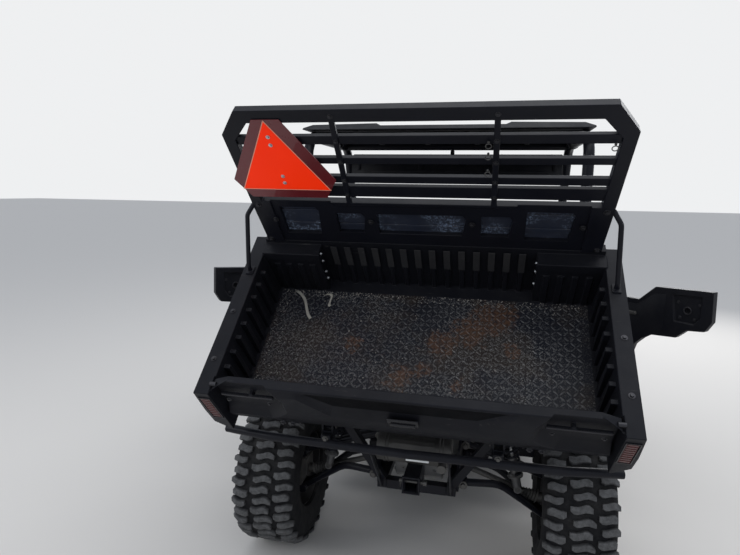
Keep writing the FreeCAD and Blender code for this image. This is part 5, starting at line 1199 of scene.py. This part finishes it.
# distance back from the hinge and height of the raised field's corners
DOOR_FIELD = ((0.06, 1.07), (0.5, 1.074), (0.6, 1.15), (0.66, 1.155), (0.655, 0.962), (0.545, 0.885),
              (0.465, 0.805), (0.41, 0.655), (0.38, 0.634), (0.075, 0.634))
open_door = Matrix.Translation(pin) @ Matrix.Rotation(radians(45), 4, "Z") @ Matrix.Translation(-pin)
for side, hand in SIDES:
    fields, metal, pull = bmesh.new(), bmesh.new(), bmesh.new()
    for inside, outside in ((0.7235, 0.7275), (0.7625, 0.7668)):
        swept(fields, [(inside, PIN_Y - s, z) for s, z in DOOR_FIELD], X * (outside - inside))
    face_out(fields)
    rounded(fields, fields.edges[:], 0.0012)
    block(pull, (0.719, PIN_Y - 0.5, 1.01), (0.7255, PIN_Y - 0.3, 1.03), 0.003)
    for s in (0.305, 0.495):
        hex_bolt(pull, (0.7195, PIN_Y - s, 1.02), -X, 0.011)
    hoop(metal, (0.7335, -0.397, 1.086), X, 0.0185, 0.003, 32)
    for s, z in ((0.725, 1.125), (0.835, 1.125), (0.74, 1.045), (0.815, 1.045)):
        hex_bolt(metal, (0.7345, PIN_Y - s, z), -X, 0.01)
    for z in (0.7, 0.96):
        bar(metal, (PIN_X, PIN_Y, z + 0.0195), (PIN_X, PIN_Y, z + 0.0245), 0.0125, 20, 0.009)
        bar(metal, (PIN_X, PIN_Y, z - 0.0245), (PIN_X, PIN_Y, z - 0.0195), 0.009, 20, 0.0125)
    for name, bm, paint, slot in (("field", fields, moulded, "black_plastic"),
                                  ("fittings", metal, dark_bolt, "shaft_steel"),
                                  ("pull", pull, soft_rubber, "black_plastic")):
        bmesh.ops.transform(bm, matrix=open_door, verts=bm.verts)
        if hand < 0:
            bmesh.ops.transform(bm, matrix=Matrix.Diagonal((-1, 1, 1, 1)), verts=bm.verts)
            bmesh.ops.reverse_faces(bm, faces=bm.faces)
        piece(f"door_{side}_{name}", bm, paint, f"door_{side}")

# Nose. Smoother black plastic for hood and fenders, a fascia with slats over wire mesh, two lamps
# with bright bowls behind clear lenses, bolts along the fender lips and a tube guard in front.
# The blue in this near black base colour is a painted tint of the sky's light.
hood_plastic = finish("hood_plastic", rgb(0.0065, 0.0068, 0.009), 0.24, dusty=0.09, grain=900.0, relief=0.05,
                      worn=0.25, worn_colour=rgb(0.06, 0.06, 0.06), coat=0.12, shine=0.3)
dress(["hood", "front_fenders"], hood_plastic, 0.004)
dress(["front_fascia"], moulded, 0.003)
LIP_R = 0.4345
bm = bmesh.new()
# y and height of the hood's top where its slope changes
for (y0, z0), (y1, z1) in (((0.739, 1.124), (0.938, 1.104)), ((0.938, 1.104), (1.148, 1.064))):
    slope = -(z0 - z1) / (y1 - y0)
    for _, hand in SIDES:
        for k in range(4):
            y = y0 + 0.045 + k * 0.03
            z = z0 + slope * (y - y0)
            lean = Matrix.Translation((hand * 0.155, y, z + 0.0005)) @ Matrix.Rotation(radians(-18), 4, "X")
            block(bm, (-0.06, -0.009, -0.002), (0.06, 0.009, 0.0025), 0.001, 1, lean)
piece("hood_louvres", bm, moulded)
bm = bmesh.new()
for _, hand in SIDES:
    for half, y, z in ((0.552, 0.8, 0.988), (0.425, 1.44, 0.876)):
        x = hand * half
        block(bm, (x - 0.012, y - 0.03, z + 0.004), (x + 0.012, y + 0.03, z + 0.03), 0.004)
        hex_bolt(bm, (x, y, z + 0.03), Z, 0.01)
    for k in range(9):
        a = radians(28 + 15.5 * k)
        y, z = FRONT_AXLE_Y + LIP_R * cos(a), HUB_Z + LIP_R * sin(a)
        if 0.76 < y < 1.48:
            hex_bolt(bm, (hand * 0.774, y, z + 0.028), X * hand, 0.011)
piece("fender_bolts", bm, smooth_plastic)
bm = bmesh.new()
bmesh.ops.create_grid(bm, x_segments=46, y_segments=14, size=0.5)
bmesh.ops.transform(bm, matrix=Matrix.Translation((0, 1.4985, 0.72)) @ Matrix.Rotation(pi / 2, 4, "X")
                    @ Matrix.Diagonal((0.8, 0.25, 1, 1)), verts=bm.verts)
grille = piece("grille_mesh", bm, powder_coat)
grille.modifiers.new("wires", "WIREFRAME").thickness = 0.0025

chrome = finish("lamp_reflector", rgb(0.85, 0.85, 0.86), 0.08, dusty=0.05, grain=400.0, relief=0.05,
                worn=0.0, metal=1.0)
clear = bpy.data.materials.new("clear_lens")
clear.use_nodes = True
tree = clear.node_tree
surface = tree.nodes["Principled BSDF"]
surface.inputs["Base Color"].default_value = rgb(0.93, 0.95, 0.96)
surface.inputs["Transmission Weight"].default_value = 1.0
surface.inputs["IOR"].default_value = 1.45
hazy = group(tree, dust, {"Color": rgb(1, 1, 1), "Roughness": 0.03, "Amount": 0.35})["Roughness"]
tree.links.new(hazy, surface.inputs["Roughness"])
LAMP = ((0.456, 0.72), (0.686, 0.695), (0.686, 0.75), (0.559, 0.796), (0.473, 0.808))
bowls, housing, lens = bmesh.new(), bmesh.new(), bmesh.new()
for _, hand in SIDES:
    for bm, near, far in ((housing, 1.5045, 1.51), (lens, 1.53, 1.5335)):
        swept(bm, [(hand * x, near, z) for x, z in LAMP], Y * (far - near))
    for x, z, r in ((0.518, 0.758, 0.034), (0.6, 0.738, 0.03), (0.656, 0.722, 0.018)):
        cone(bowls, 32, r * 0.3, r, 0.018, turned_to(Y, (hand * x, 1.5195, z)), capped=False)
        bmesh.ops.create_uvsphere(bowls, u_segments=16, v_segments=8, radius=r * 0.28,
                                  matrix=Matrix.Translation((hand * x, 1.514, z)))
for bm in (housing, lens):
    face_out(bm)
piece("headlamp_housings", housing, smooth_plastic, replaces=("headlamps",))
piece("headlamp_bowls", bowls, chrome)
piece("headlamp_lenses", lens, clear)
bm = bmesh.new()
for _, hand in SIDES:
    for z in (0.48, 0.64, 0.74):
        hoop(bm, (hand * 0.33, 1.573, z), Z, 0.0196, 0.0016, 28, 8)
    for y, z in ((1.45, 0.38), (1.5, 0.42)):
        hex_bolt(bm, (hand * 0.2985, y, z), X * hand, 0.014)
piece("guard_fittings", bm, dark_bolt)
